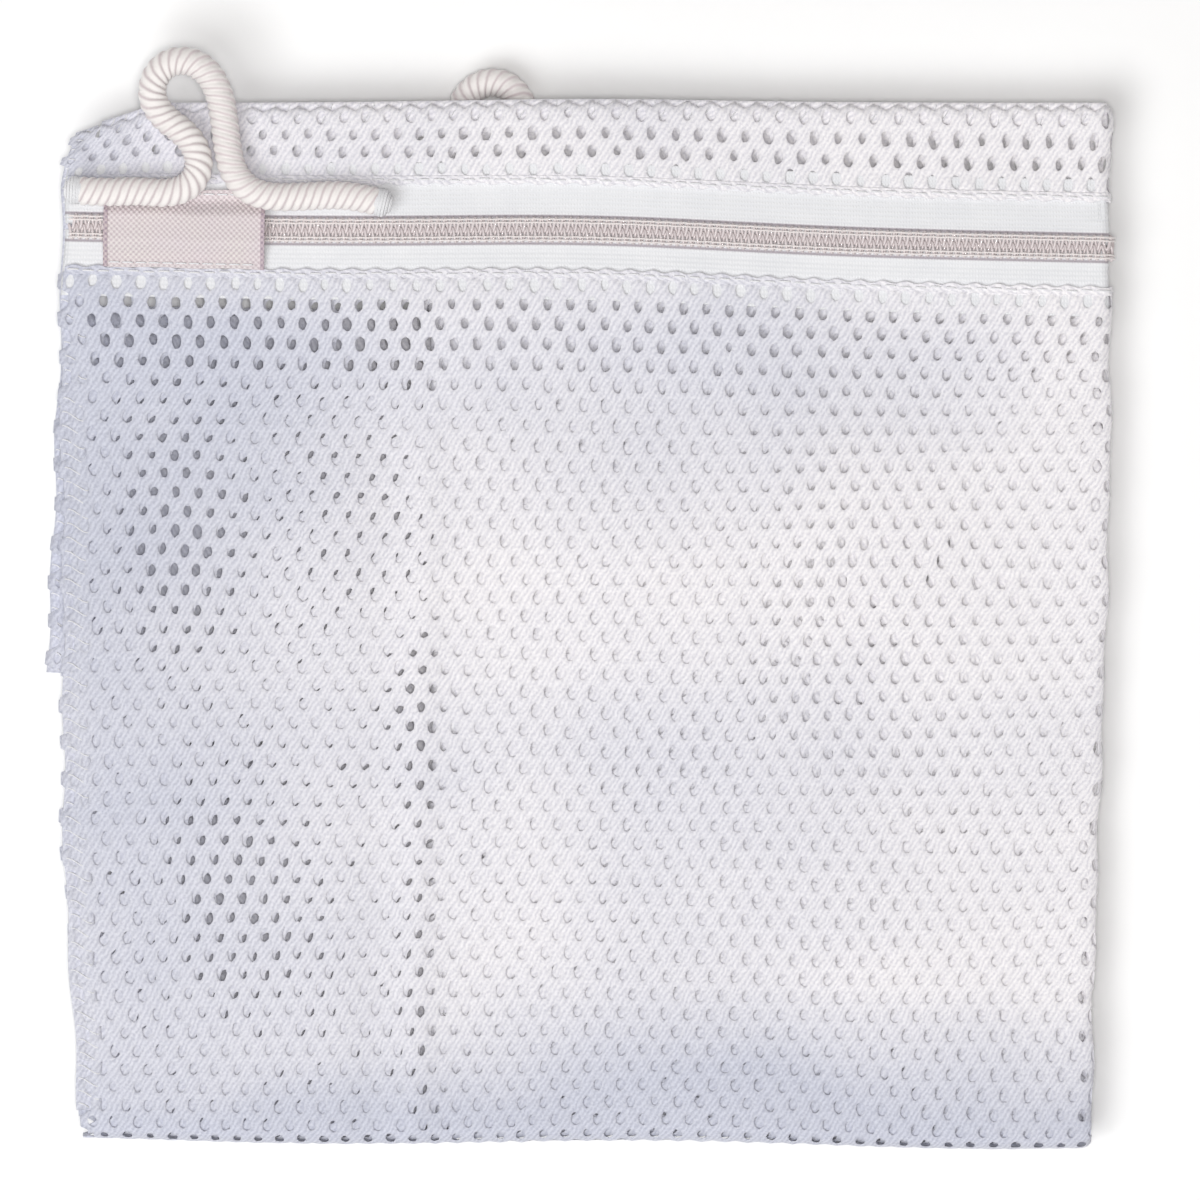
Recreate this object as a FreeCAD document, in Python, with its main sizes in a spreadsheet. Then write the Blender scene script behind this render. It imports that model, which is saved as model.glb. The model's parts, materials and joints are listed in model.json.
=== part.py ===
import FreeCAD, Part
import math
import os
from FreeCAD import Placement, Rotation, Vector

# A flat mesh laundry bag, 300 x 400 mm, zipped shut and folded for storage. Its right-hand part is
# turned under at the right edge, and its length is pleated into three sections that lie on each
# other: the front section on top, the middle section under it and the end section on the table.
# Lengths are in millimetres. X runs along the zipper, Y towards the bag's top edge, Z up.

DRIVING = {
    # the folded bag from above
    "folded_width": 181.6,      # left side seam to the turned edge on the right
    "half_height": 90.7,        # middle of the folded bag to its top edge
    "corner_out": 3.3,          # how far the skewed end section shows at the left
    "tucked_width": 118.0,      # the part that is turned under, from the right edge
    "inner_fold_at": 54.2,      # the fold between the middle and end sections, along Y
    "end_length": 64.4,         # end section, from that fold to the bottom hem
    "fold_play": 0.2,           # each section's cloth stops this far from its fold line
    # cloth and the spaces between its layers
    "mesh": 0.5,
    "back_gap": 0.3,            # between the two layers of the back panel
    "seam_gap": 0.6,            # between front and back, where the seams lie
    "zip_gap": 1.3,             # the same, over the slider's inner plate
    "section_gap": 0.5,
    "seam_width": 5.0,
    "seam_thick": 0.4,
    "seam_play": 0.1,           # seam to the cloth beside it
    # zipper, size 3 coil
    "zip_at": 67.1,             # middle of the chain, along Y, at the middle of the bag
    "zip_tilt": 1.2,            # degrees, down to the right
    "zip_inset": 0.6,           # chain and tape ends, inside the side seams
    "tape_half": 12.0,
    "tape_thick": 0.3,
    "tape_drop": 0.65,          # top of the tape under the top of the mesh
    "tape_edge": 0.5,           # chain middle to the tape's woven edge
    "upper_bare": 8.0,          # bare tape above the chain, measured from its middle
    "lower_bare": 6.7,
    "coil_half": 2.33,
    "coil_meet": 0.15,
    "coil_rise": 0.9,
    "coil_seat": 0.05,          # coil over the tape
    "thread": 0.2,
    "thread_width": 0.7,
    "thread_inset": 0.4,        # seam stitching, from the mesh's edge
    # slider and pull tab
    "slider_at": -75.5,         # middle of the slider, along the zipper
    "slider_long": 8.6,
    "slider_half": 3.1,
    "plate": 0.4,
    "plate_play": 0.15,         # plates to the tape and the coils
    "flange": 0.5,
    "post_long": 2.4,
    "post_half": 0.4,
    "post_room": 0.7,           # the coils part this far round the post
    "crown_half_long": 2.2,
    "crown_half_wide": 0.8,
    "crown_thick": 0.4,
    "crown_foot": 0.7,
    "crown_play": 0.15,         # crown over the tab
    "tab_long": 13.6,
    "tab_half": 2.0,
    "tab_thick": 0.6,
    "tab_lift": 0.1,            # tab over the slider's top plate
    "tab_window": 2.7,
    "tab_rail": 0.7,
    # elastic garage over the parked slider
    "garage_left": -81.6,
    "garage_long": 27.2,
    "garage_thick": 0.6,
    "garage_half": 6.8,
    "garage_clear": 0.3,
    "garage_seat": 0.25,        # its flaps over the mesh
    "garage_shoulder": 0.45,    # height of its shoulders, as a share of its inner height
    "garage_stitch": 0.8,       # stitching, from the edges of the flaps
    # hanging loops
    "cord": 4.8,
    "front_cord_z": 16.0,
    "rear_cord_z": 5.3,
    "tack_long": 2.0,
    "tack_share": 0.8,          # bartack's width, as a share of the cord's
    "tack_reach": 1.4,          # bartack, past the cord's middle
}

doc = FreeCAD.newDocument("mesh_laundry_bag")
bag = doc.addObject("Spreadsheet::Sheet", "bag")
for row, (alias, number) in enumerate(DRIVING.items(), start=1):
    bag.set(f"A{row}", alias)
    bag.set(f"B{row}", str(number))
    bag.setAlias(f"B{row}", alias)
doc.recompute()

# Places that several pieces share, as expressions of the sheet. Each section is four layers of
# mesh, and each pleat turns the section over, so its layers come in the opposite order.
SECTION = "(4 * bag.mesh + 2 * bag.seam_gap + bag.back_gap)"
PITCH = f"({SECTION} + bag.section_gap)"
FRONT_BASE = f"(2 * {PITCH})"
FRONT_TOP = f"({FRONT_BASE} + {SECTION} + bag.zip_gap - bag.seam_gap)"
RIGHT = "((bag.folded_width + bag.corner_out) / 2)"
LEFT = f"({RIGHT} - bag.folded_width)"
TUCK = f"({RIGHT} - bag.tucked_width)"
TAPE_TOP = f"({FRONT_TOP} - bag.tape_drop)"
TAPE_BASE = f"({FRONT_BASE} + bag.tape_drop)"
COIL_TOP = f"({TAPE_TOP} + bag.coil_seat + bag.coil_rise)"
COIL_BASE = f"({TAPE_BASE} - bag.coil_seat - bag.coil_rise)"
SIDE_BEND = f"(({COIL_TOP} - {COIL_BASE}) / 2)"
FOLD = f"({RIGHT} - {SIDE_BEND})"
OUTER_BEND = f"(({FRONT_TOP} - {PITCH}) / 2)"
INNER_BEND = f"(({PITCH} + {SECTION}) / 2)"
OUTER_FOLD = f"(-bag.half_height + {OUTER_BEND})"
SKEW = "asin(bag.corner_out / bag.end_length)"

Z_AXIS = Vector(0, 0, 1)
TO_Y = Rotation(Vector(1, 0, 0), -90)
RIGHT_HALF_ALONG_Y = Rotation(Vector(0, 1, 0), -90) * TO_Y
TOP_HALF_ALONG_X = Rotation(Vector(0, 1, 0), 90)
finished = {}


def size(expression):
    """Number that an alias or an expression of the sheet gives."""
    value = bag.evalExpression(expression if "bag." in expression else f"bag.{expression}")
    return float(getattr(value, "Value", value))


def bind(thing, **expressions):
    """Bind properties of a document object, such as Placement__Base__x, to expressions."""
    for name, expression in expressions.items():
        thing.setExpression(name.replace("__", "."), expression)
    return thing


def block(x, y, z, long, wide, high):
    """A box from its lowest corner and its three sides, all expressions."""
    return bind(doc.addObject("Part::Box", "block"), Length=long, Width=wide, Height=high,
                Placement__Base__x=x, Placement__Base__y=y, Placement__Base__z=z)


def rod(radius, length, x, y, z, rotation, turn="360 deg"):
    """A round bar, or the part of one that turn gives, from the middle of its first end."""
    bar = doc.addObject("Part::Cylinder", "rod")
    bar.Placement = Placement(Vector(), rotation)
    return bind(bar, Radius=radius, Height=length, Angle=turn,
                Placement__Base__x=x, Placement__Base__y=y, Placement__Base__z=z)


def cut(whole, tool):
    result = doc.addObject("Part::Cut", "cut")
    result.Base, result.Tool = whole, tool
    return result


def fuse(*pieces):
    result = doc.addObject("Part::MultiFuse", "fuse")
    result.Shapes = list(pieces)
    result.Refine = True
    return result


def placed(things, x, y, z, angle):
    """A group of pieces, moved together and turned about a line along Z by an expression."""
    group = doc.addObject("Part::Compound", "group")
    group.Links = things
    group.Placement = Placement(Vector(), Rotation(Z_AXIS, 1))
    return bind(group, Placement__Base__x=x, Placement__Base__y=y, Placement__Base__z=z,
                Placement__Rotation__Angle=angle)


def finish(name, thing):
    """Give a sub-part its name, which is also its file's name."""
    thing.Label = name
    finished[name] = thing


def half_shell(radius, thick, length, x, y, z, rotation):
    return cut(rod(radius, length, x, y, z, rotation, "180 deg"),
               rod(f"{radius} - {thick}", length, x, y, z, rotation, "180 deg"))


def folded_strip(top, bottom, thick, start, length, upper_left, lower_left, fold=FOLD):
    """Cloth turned under at the right: two flat layers joined by a half-round bend along Y."""
    radius, middle = f"(({top} - {bottom}) / 2)", f"(({top} + {bottom}) / 2)"
    bend = half_shell(radius, thick, length, fold, start, middle, RIGHT_HALF_ALONG_Y)
    upper = block(upper_left, start, f"{top} - {thick}", f"{fold} - {upper_left}", length, thick)
    lower = block(lower_left, start, bottom, f"{fold} - {lower_left}", length, thick)
    return fuse(upper, bend, lower)


def section_cloth(base, upper_gap, start, length, turned=False, left=LEFT, tuck=TUCK, fold=FOLD):
    """Front panel, back panel and side seams of one section.

    turned is true where the pleat has put the tucked part on top. The seams lie between the
    panels: the left one in the wide part's gap, the right one in the tucked part's.
    """
    top = f"({base} + {SECTION} + {upper_gap} - bag.seam_gap)"
    back_top = f"({top} - bag.mesh - {upper_gap})"
    back_base = f"({base} + bag.mesh + bag.seam_gap)"
    ends = (tuck, left) if turned else (left, tuck)
    seam_heights = [f"{back_top} + ({upper_gap} - bag.seam_thick) / 2",
                    f"{base} + bag.mesh + (bag.seam_gap - bag.seam_thick) / 2"]
    if turned:
        seam_heights.reverse()
    cloth = {"front_panel": folded_strip(top, base, "bag.mesh", start, length, *ends, fold),
             "back_panel": folded_strip(back_top, back_base, "bag.mesh", start, length, *ends, fold)}
    for name, x, z in zip(("left_seam", "right_seam"), (left, tuck), seam_heights):
        cloth[name] = block(x, start, z, "bag.seam_width", length, "bag.seam_thick")
    return cloth


def hem(base, top, start, left=LEFT, tuck=TUCK, fold=FOLD):
    """Seam along X between front and back panel, between the two side seams."""
    inset = "bag.seam_width + 2 * bag.seam_play"
    return folded_strip(f"({top} - bag.mesh - bag.seam_play)", f"({base} + bag.mesh + bag.seam_play)",
                        "bag.seam_thick", start, "bag.seam_width - bag.seam_play",
                        f"({left} + {inset})", f"({tuck} + {inset})", fold)


# ---------------------------------------------------------------- end section, on the table
# It is skewed a little, so it is built from the left end of its fold line and then turned.
END_FRAME = {"left": "0", "tuck": "(bag.folded_width - bag.tucked_width)",
             "fold": f"(bag.folded_width - {SIDE_BEND})"}
end_cloth = section_cloth("0", "bag.seam_gap", "-bag.end_length", "bag.end_length - bag.fold_play",
                          **END_FRAME)
end_cloth = {f"end_{name}": cloth for name, cloth in end_cloth.items()}
end_cloth["bottom_hem"] = hem("0", SECTION, "-bag.end_length", **END_FRAME)
for name, cloth in end_cloth.items():
    finish(name, placed([cloth], LEFT, "bag.inner_fold_at", "0", f"-{SKEW}"))

# ---------------------------------------------------------------- middle section
# The fold line to the end section runs at half the skew, so this cloth stops at its low end.
FOLD_DROP = f"(bag.folded_width * tan({SKEW} / 2))"
CLOTH_START = f"({OUTER_FOLD} + bag.fold_play)"
MIDDLE_LENGTH = f"(bag.inner_fold_at - {FOLD_DROP} - bag.fold_play - {CLOTH_START})"
for name, cloth in section_cloth(PITCH, "bag.seam_gap", CLOTH_START, MIDDLE_LENGTH, True).items():
    finish(f"middle_{name}", cloth)

# ---------------------------------------------------------------- front section: cloth
front_cloth = section_cloth(FRONT_BASE, "bag.zip_gap", CLOTH_START,
                            f"(bag.half_height - {CLOTH_START})")


def along_zip(*things):
    """Put pieces that were built along the chain at its place and tilt on the bag."""
    return placed(list(things), "0", "bag.zip_at", "0", "-bag.zip_tilt * 1 deg")


def band(start, stop):
    """All the space between two distances from the chain's middle, along the whole zipper."""
    far = "bag.folded_width"
    return along_zip(block(f"-{far}", start, f"-{far}", f"2 * {far}", f"{stop} - ({start})",
                           f"2 * {far}"))


finish("front_panel", cut(front_cloth["front_panel"], band("-bag.lower_bare", "bag.folded_width")))
finish("top_strip", cut(front_cloth["front_panel"], band("-2 * bag.folded_width", "bag.upper_bare")))
finish("back_panel", front_cloth["back_panel"])
for seam in ("left_seam", "right_seam"):
    tape_room = band("-bag.tape_half - bag.fold_play", "bag.tape_half + bag.fold_play")
    finish(f"front_{seam}", cut(front_cloth[seam], tape_room))
finish("top_edge_seam", hem(FRONT_BASE, FRONT_TOP, "(bag.half_height - bag.seam_width)"))

# ---------------------------------------------------------------- front section: zipper
CHAIN_LEFT = f"({LEFT} + bag.zip_inset)"
CHAIN_TUCK = f"({TUCK} + bag.zip_inset)"


def zip_strip(top, bottom, thick, start, width):
    """A strip along the zipper, turned under in line with the mesh at its place on the tilt."""
    fold = f"({FOLD} - ({start} + {width} / 2) * sin(bag.zip_tilt * 1 deg))"
    return folded_strip(top, bottom, thick, start, width, CHAIN_LEFT, CHAIN_TUCK, fold)


POST = "(bag.slider_at - bag.slider_long / 2)"
for side, tape_start, coil_start, thread_start in (
        ("upper", "bag.tape_edge", "bag.coil_meet", "bag.upper_bare + bag.thread_inset"),
        ("lower", "-bag.tape_half", "-bag.coil_half",
         "-bag.lower_bare - bag.thread_inset - bag.thread_width")):
    tape = zip_strip(TAPE_TOP, TAPE_BASE, "bag.tape_thick", tape_start,
                     "(bag.tape_half - bag.tape_edge)")
    stitching = zip_strip(f"({FRONT_TOP} + bag.thread)", f"({FRONT_BASE} - bag.thread)", "bag.thread",
                          thread_start, "bag.thread_width")
    coil = zip_strip(COIL_TOP, COIL_BASE, "bag.coil_rise", coil_start,
                     "(bag.coil_half - bag.coil_meet)")
    parted = block(f"{POST} - bag.plate_play", "-bag.post_half - bag.post_room", TAPE_TOP,
                   "bag.post_long + 2 * bag.plate_play", "2 * (bag.post_half + bag.post_room)",
                   "2 * bag.coil_rise")
    finish(f"zipper_tape_{side}", along_zip(tape))
    finish(f"seam_stitching_{side}", along_zip(stitching))
    finish(f"zipper_coil_{side}", along_zip(cut(coil, parted)))

# ---------------------------------------------------------------- slider and pull tab
INNER_TOP = f"({TAPE_TOP} - bag.tape_thick - bag.plate_play)"
OUTER_BASE = f"({COIL_TOP} + bag.plate_play)"
OUTER_TOP = f"({OUTER_BASE} + bag.plate)"
PIVOT = f"({OUTER_TOP} + bag.tab_lift + bag.tab_thick / 2)"
CROWN_UNDER = f"({PIVOT} + bag.tab_thick / 2 + bag.crown_play)"
CROWN_TOP = f"({CROWN_UNDER} + bag.crown_thick)"


def slider():
    """Two plates and two flanges round the chain, the dividing post, and the crown on top."""
    plates = [block(POST, "-bag.slider_half", z, "bag.slider_long", "2 * bag.slider_half", "bag.plate")
              for z in (f"{INNER_TOP} - bag.plate", OUTER_BASE)]
    flanges = [block(POST, y, f"{TAPE_TOP} + bag.plate_play", "bag.slider_long", "bag.flange",
                     f"{OUTER_BASE} - {TAPE_TOP} - bag.plate_play")
               for y in ("-bag.slider_half", "bag.slider_half - bag.flange")]
    post = block(POST, "-bag.post_half", INNER_TOP, "bag.post_long", "2 * bag.post_half",
                 f"{OUTER_BASE} - {INNER_TOP}")
    crown = block("bag.slider_at - bag.crown_half_long", "-bag.crown_half_wide", OUTER_TOP,
                  "2 * bag.crown_half_long", "2 * bag.crown_half_wide", f"{CROWN_TOP} - {OUTER_TOP}")
    tunnel = block("bag.slider_at - bag.crown_half_long + bag.crown_foot", "-2 * bag.crown_half_wide",
                   OUTER_TOP, "2 * (bag.crown_half_long - bag.crown_foot)",
                   "4 * bag.crown_half_wide", f"{CROWN_UNDER} - {OUTER_TOP}")
    return fuse(*plates, *flanges, post, cut(crown, tunnel))


def tab():
    """A flat tab with a window at its root, on a round crossbar that turns under the crown."""
    low = f"{PIVOT} - bag.tab_thick / 2"
    plate = block("bag.slider_at", "-bag.tab_half", low, "bag.tab_long", "2 * bag.tab_half",
                  "bag.tab_thick")
    window = block("bag.slider_at", "-bag.tab_half + bag.tab_rail", low, "bag.tab_window",
                   "2 * (bag.tab_half - bag.tab_rail)", "bag.tab_thick")
    crossbar = rod("bag.tab_thick / 2", "2 * bag.tab_half", "bag.slider_at", "-bag.tab_half", PIVOT,
                   TO_Y)
    return fuse(cut(plate, window), crossbar)


finish("slider_body", along_zip(slider()))
finish("pull_tab", along_zip(tab()))

# ---------------------------------------------------------------- elastic garage
FLAP_BASE = f"({FRONT_TOP} + bag.garage_seat)"
FLAP_TOP = f"({FLAP_BASE} + bag.garage_thick)"


def garage():
    """Sleeve over the slider with a sewn flap along each side, as one section drawn along X."""
    flap_base, flap_top, thick = size(FLAP_BASE), size(FLAP_TOP), size("garage_thick")
    roof = size(CROWN_TOP) + size("garage_clear")
    shoulder = flap_base + size("garage_shoulder") * (roof - flap_base)
    wall = size("slider_half") + size("garage_clear")
    roof_half = size("tab_half") + size("garage_clear")
    outside = [(size("garage_half"), flap_base), (size("garage_half"), flap_top),
               (wall + thick, flap_top), (wall + thick, shoulder), (roof_half + thick / 2, roof + thick)]
    inside = [(wall, flap_base), (wall, shoulder), (roof_half, roof)]
    outline = ([(-y, z) for y, z in outside] + outside[::-1]
               + inside + [(-y, z) for y, z in reversed(inside)])
    corners = [Vector(size("garage_left"), y, z) for y, z in outline]
    section = Part.Face(Part.makePolygon(corners + corners[:1]))
    return section.extrude(Vector(size("garage_long"), 0, 0))


def made_shape(name, shape, place=Placement()):
    thing = doc.addObject("Part::Feature", name)
    thing.Shape = shape
    thing.Placement = place
    finish(name, thing)


made_shape("slider_garage", garage(),
           Placement(Vector(0, size("zip_at"), 0), Rotation(Z_AXIS, -size("zip_tilt"))))
stitch_lines = [block("bag.garage_left + bag.garage_stitch", y, FLAP_TOP,
                      "bag.garage_long - 2 * bag.garage_stitch", "bag.thread_width / 2", "bag.thread")
                for y in ("-bag.garage_half + bag.garage_stitch",
                          "bag.garage_half - bag.garage_stitch - bag.thread_width / 2")]
finish("garage_stitching", along_zip(*stitch_lines))

# ---------------------------------------------------------------- hanging loops
# Each route gives X, Y and the height over the loop's own level.
FRONT_ROUTE = [
    (-86.6, 75.0, 0), (-81.2, 74.6, 0), (-75.8, 74.9, 0), (-70.6, 74.4, 0), (-66.9, 75.6, 0),
    (-65.1, 78.8, -0.2), (-65.9, 82.6, -0.4), (-68.4, 85.4, -0.6), (-71.3, 87.4, -0.8),
    (-73.5, 90.6, -0.8), (-73.2, 94.4, -0.8), (-70.6, 97.2, -0.8), (-66.6, 97.4, -0.8),
    (-63.3, 95.0, -0.8), (-61.6, 91.1, -0.8), (-60.9, 86.6, -0.7), (-60.4, 82.0, -0.5),
    (-59.4, 78.0, -0.2), (-56.9, 75.0, 0), (-53.0, 73.8, -0.2), (-47.6, 73.9, -0.5),
    (-42.0, 74.3, -0.6), (-37.6, 73.8, -0.6), (-34.0, 72.9, -0.6),
]
REAR_ROUTE = [
    (-18.0, 73.4, 0), (-19.4, 77.8, 0), (-20.2, 82.2, 0), (-20.4, 86.4, 0), (-20.3, 90.3, 0),
    (-18.2, 93.2, 0), (-14.9, 94.3, 0), (-11.6, 93.2, 0), (-9.6, 90.3, 0), (-9.5, 86.2, 0),
    (-9.9, 81.8, 0), (-11.0, 77.4, 0), (-12.6, 73.4, 0),
]
ARC_SHARE = 0.45    # of the shorter run beside a corner, given to the corner's arc


def cord_path(route, height):
    """Straight runs with an arc at each corner, as large as the two runs at it allow."""
    points = [Vector(x, y, height + z) for x, y, z in route]
    edges, radii = [], []
    here = points[0]
    for before, corner, after in zip(points, points[1:], points[2:]):
        to_back, to_next = before - corner, after - corner
        turn = math.pi - to_back.getAngle(to_next)
        setback = ARC_SHARE * min(to_back.Length, to_next.Length)
        radius = setback / math.tan(turn / 2)
        to_back.normalize()
        to_next.normalize()
        begin, end = corner + to_back * setback, corner + to_next * setback
        inward = (to_back + to_next).normalize()
        middle = corner + inward * (radius / math.cos(turn / 2) - radius)
        edges += [Part.LineSegment(here, begin).toShape(), Part.Arc(begin, middle, end).toShape()]
        radii.append(radius)
        here = end
    edges.append(Part.LineSegment(here, points[-1]).toShape())
    return Part.Wire(edges), radii


def hanging_loop(name, route, height):
    path, radii = cord_path(route, height)
    first = path.Edges[0]
    ring = Part.Wire(Part.makeCircle(size("cord") / 2, first.Vertexes[0].Point, first.tangentAt(0)))
    tube = path.makePipeShell([ring], True, False)
    expected = math.pi * size("cord") ** 2 / 4 * path.Length
    print(f"{name}: {path.Length:.1f} mm, {tube.Volume:.0f} mm3 against {expected:.0f} mm3, radii",
          " ".join(f"{radius:.1f}" for radius in radii))
    made_shape(name, tube)


def bartacks(name, route, bottom, top):
    """Blocks of thread that hold both ends of a loop, each against the cord's end face."""
    tacks = []
    for end, beside in ((route[0], route[1]), (route[-1], route[-2])):
        outward = Vector(end[0] - beside[0], end[1] - beside[1], 0)
        width = size("tack_share") * size("cord")
        tack = Part.makeBox(size("tack_long"), width, top - bottom, Vector(0, -width / 2, bottom))
        tack.Placement = Placement(Vector(end[0], end[1], 0), Rotation(Vector(1, 0, 0), outward))
        tacks.append(tack)
    made_shape(name, Part.Compound(tacks))


front_level, rear_level = size("front_cord_z"), size("rear_cord_z")
hanging_loop("hanging_loop_front", FRONT_ROUTE, front_level)
hanging_loop("hanging_loop_rear", REAR_ROUTE, rear_level)
bartacks("front_loop_bartacks", FRONT_ROUTE, size(f"{FLAP_TOP} + bag.thread"),
         front_level + size("tack_reach"))
bartacks("rear_loop_bartacks", REAR_ROUTE, rear_level - size("tack_reach"),
         size(f"{FRONT_BASE} - bag.thread - bag.seam_play"))

# ---------------------------------------------------------------- cloth round the two folds
# Each fold is drawn as its outermost layer: half a turn of mesh from one section to the next.
FOLD_LENGTH = f"({FOLD} - {LEFT})"
for name, radius, y, z, turn in (
        ("outer_fold", OUTER_BEND, OUTER_FOLD, f"({FRONT_TOP} + {PITCH}) / 2", "0"),
        ("inner_fold", INNER_BEND, "bag.inner_fold_at", INNER_BEND, f"-{SKEW} / 2")):
    bulge = Rotation(Z_AXIS, 180) if name == "outer_fold" else Rotation()
    shell = half_shell(radius, "bag.mesh", FOLD_LENGTH, "0", "0", "0", TOP_HALF_ALONG_X * bulge)
    finish(name, placed([shell], LEFT, y, z, turn))

# ---------------------------------------------------------------- checks and export
doc.recompute()
for thing in doc.Objects:
    if {"Invalid", "Error"} & set(thing.State):
        raise SystemExit(f"{thing.Name} ({thing.Label}) is {thing.State}")
os.makedirs("parts", exist_ok=True)
for name, thing in finished.items():
    shape = thing.Shape
    if shape.isNull() or not shape.isValid() or not shape.Solids:
        raise SystemExit(f"{name} has no valid solid")
    shape.exportStep(f"parts/{name}.step")
    room = shape.BoundBox
    print(f"{name:22s} {len(shape.Solids)} solids {shape.Volume:9.1f} mm3  x {room.XMin:.2f} to",
          f"{room.XMax:.2f} y {room.YMin:.2f} to {room.YMax:.2f} z {room.ZMin:.2f} to {room.ZMax:.2f}")
for name, expression in (("middle fold, z", INNER_BEND), ("front fold, y", OUTER_FOLD),
                         ("front section, base", FRONT_BASE), ("front section, top", FRONT_TOP),
                         ("left edge", LEFT), ("tab pivot, z", PIVOT)):
    print(f"{name}: {size(expression):.4f}")
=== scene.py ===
"""A mesh laundry bag, zipped shut and folded flat, modelled as its cloth, zipper and cords.

The bag is one tube of net: a front panel and a back panel, sewn together at the sides. Every point of
a panel has a place u across the bag, from the left seam to the right one, and v along it, from the
top edge to the bottom hem. folded() gives the point's place in the folded bag. Sizes here are in
millimetres, and put() turns them into the frame's metres.
"""
import json
import math

import bpy
import numpy as np
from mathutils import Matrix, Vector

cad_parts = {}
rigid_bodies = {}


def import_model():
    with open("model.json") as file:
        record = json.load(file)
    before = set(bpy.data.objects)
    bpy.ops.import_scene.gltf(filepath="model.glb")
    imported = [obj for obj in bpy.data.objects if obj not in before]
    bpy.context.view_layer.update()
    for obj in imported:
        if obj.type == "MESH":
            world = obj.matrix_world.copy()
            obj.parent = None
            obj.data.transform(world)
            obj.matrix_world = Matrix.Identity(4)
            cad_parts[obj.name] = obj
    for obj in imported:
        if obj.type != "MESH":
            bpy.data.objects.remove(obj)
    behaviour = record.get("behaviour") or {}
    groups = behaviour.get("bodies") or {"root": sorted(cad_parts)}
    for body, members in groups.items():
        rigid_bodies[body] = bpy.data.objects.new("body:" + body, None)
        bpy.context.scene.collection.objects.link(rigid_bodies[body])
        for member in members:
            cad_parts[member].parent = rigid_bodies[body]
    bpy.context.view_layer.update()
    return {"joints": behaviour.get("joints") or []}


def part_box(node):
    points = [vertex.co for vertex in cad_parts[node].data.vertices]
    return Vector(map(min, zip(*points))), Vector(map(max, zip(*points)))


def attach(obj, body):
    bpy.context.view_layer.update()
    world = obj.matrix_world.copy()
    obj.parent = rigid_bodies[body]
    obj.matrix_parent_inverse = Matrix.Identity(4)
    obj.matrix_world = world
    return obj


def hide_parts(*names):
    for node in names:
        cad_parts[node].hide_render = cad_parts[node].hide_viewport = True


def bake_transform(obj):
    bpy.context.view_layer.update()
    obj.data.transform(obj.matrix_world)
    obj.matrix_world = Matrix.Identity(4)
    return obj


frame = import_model()

MM = 0.001
X, Y, Z = 0, 1, 2
UP = np.array([0.0, 0.0, 1.0])
joints = {joint["name"]: joint for joint in frame["joints"]}


def low(node, axis):
    """A node's lowest coordinate along an axis, in millimetres."""
    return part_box(node)[0][axis] / MM


def high(node, axis):
    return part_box(node)[1][axis] / MM


# --- sizes that the frame gives
LEFT = low("front_left_seam", X)            # left side seam
TUCK = low("front_right_seam", X)           # right side seam, turned under
FOLD = high("outer_fold", X)                # where the cloth starts to bend under at the right
TOP = high("top_strip", Y)
OUTER_FOLD = high("outer_fold", Y)          # fold between the front and middle sections
INNER_FOLD = joints["middle_fold"]["pos_m"][Y] / MM
SKEW = math.asin(abs(joints["middle_fold"]["axis"][Y]))     # slope of the fold to the end section
HEM_LENGTH = high("end_left_seam", Y) - low("end_left_seam", Y)
CLOTH = 0.5                                 # thickness of the cloth in the CAD model
TILT = math.asin(abs(joints["slider_travel"]["axis"][Y]))   # slope of the zipper
SLIDER = [(low("slider_body", axis) + high("slider_body", axis)) / 2 for axis in (X, Y)]
ZIP_Y = SLIDER[Y] + SLIDER[X] * math.tan(TILT)              # the chain's middle, where x is 0
TOP_EDGE_OF_ZIP = 8.0                       # bare tape above the chain, from its middle
LOW_EDGE_OF_ZIP = 6.7                       # and below it


def panel_levels(names):
    """Heights of a panel's middle surface in each section: (wide part, tucked part)."""
    levels = []
    for name, turned in zip(names, (False, True, False)):
        pair = (high(name, Z) - CLOTH / 2, low(name, Z) + CLOTH / 2)
        levels.append(pair[::-1] if turned else pair)
    return np.array(levels)


FRONT = panel_levels(("front_panel", "middle_front_panel", "end_front_panel"))
BACK = panel_levels(("back_panel", "middle_back_panel", "end_back_panel"))
SEAM = (FRONT + BACK) / 2                   # the seams lie between the two panels
LAYER_GAP = 0.48                            # from layer to layer where the front section lies flat
PILE = (BACK[0].sum() / 2 + LAYER_GAP * np.array([1.5, -1.5]),      # front panel: wide, tucked
        BACK[0].sum() / 2 + LAYER_GAP * np.array([0.5, -0.5]))      # back panel
WIDE = FOLD - LEFT
V_OUTER = TOP - OUTER_FOLD


def bend_length(panel):
    """Length of cloth in the turn at the right edge."""
    return math.pi * abs(panel[0][0] - panel[0][1]) / 2


def across(panel):
    """The whole cut width of a panel."""
    return WIDE + bend_length(panel) + FOLD - TUCK


def fold_length(panel, first):
    """Length of cloth in the turn between two sections, where it is longest."""
    return math.pi * np.abs(panel[first] - panel[first + 1]).max() / 2


def join(*parts):
    """Points, or rows of indices, from arrays of their parts."""
    return np.stack(np.broadcast_arrays(*parts), axis=-1)


def quads_of(*corners):
    """Faces from arrays of the indices of their four corners."""
    return join(*corners).reshape(-1, 4)


def smooth(value, start, stop):
    """0 before the start and 1 past the stop, easing from one to the other."""
    t = np.clip((value - start) / (stop - start), 0, 1)
    return t * t * (3 - 2 * t)


def hump(value, middle, spread, power=2):
    """1 at the middle, falling smoothly to 0 on both sides."""
    return np.exp(-((value - middle) / spread) ** power)


# --- the folded bag
EDGE_CURL = 3.0                             # the panels curve towards each other this close to their seams
NORMAL = np.array([math.sin(SKEW), math.cos(SKEW)])     # square to the inner fold, in the plane
SUNK = (9, 32)                              # from the zipper's middle, where the layers come to touch


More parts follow.
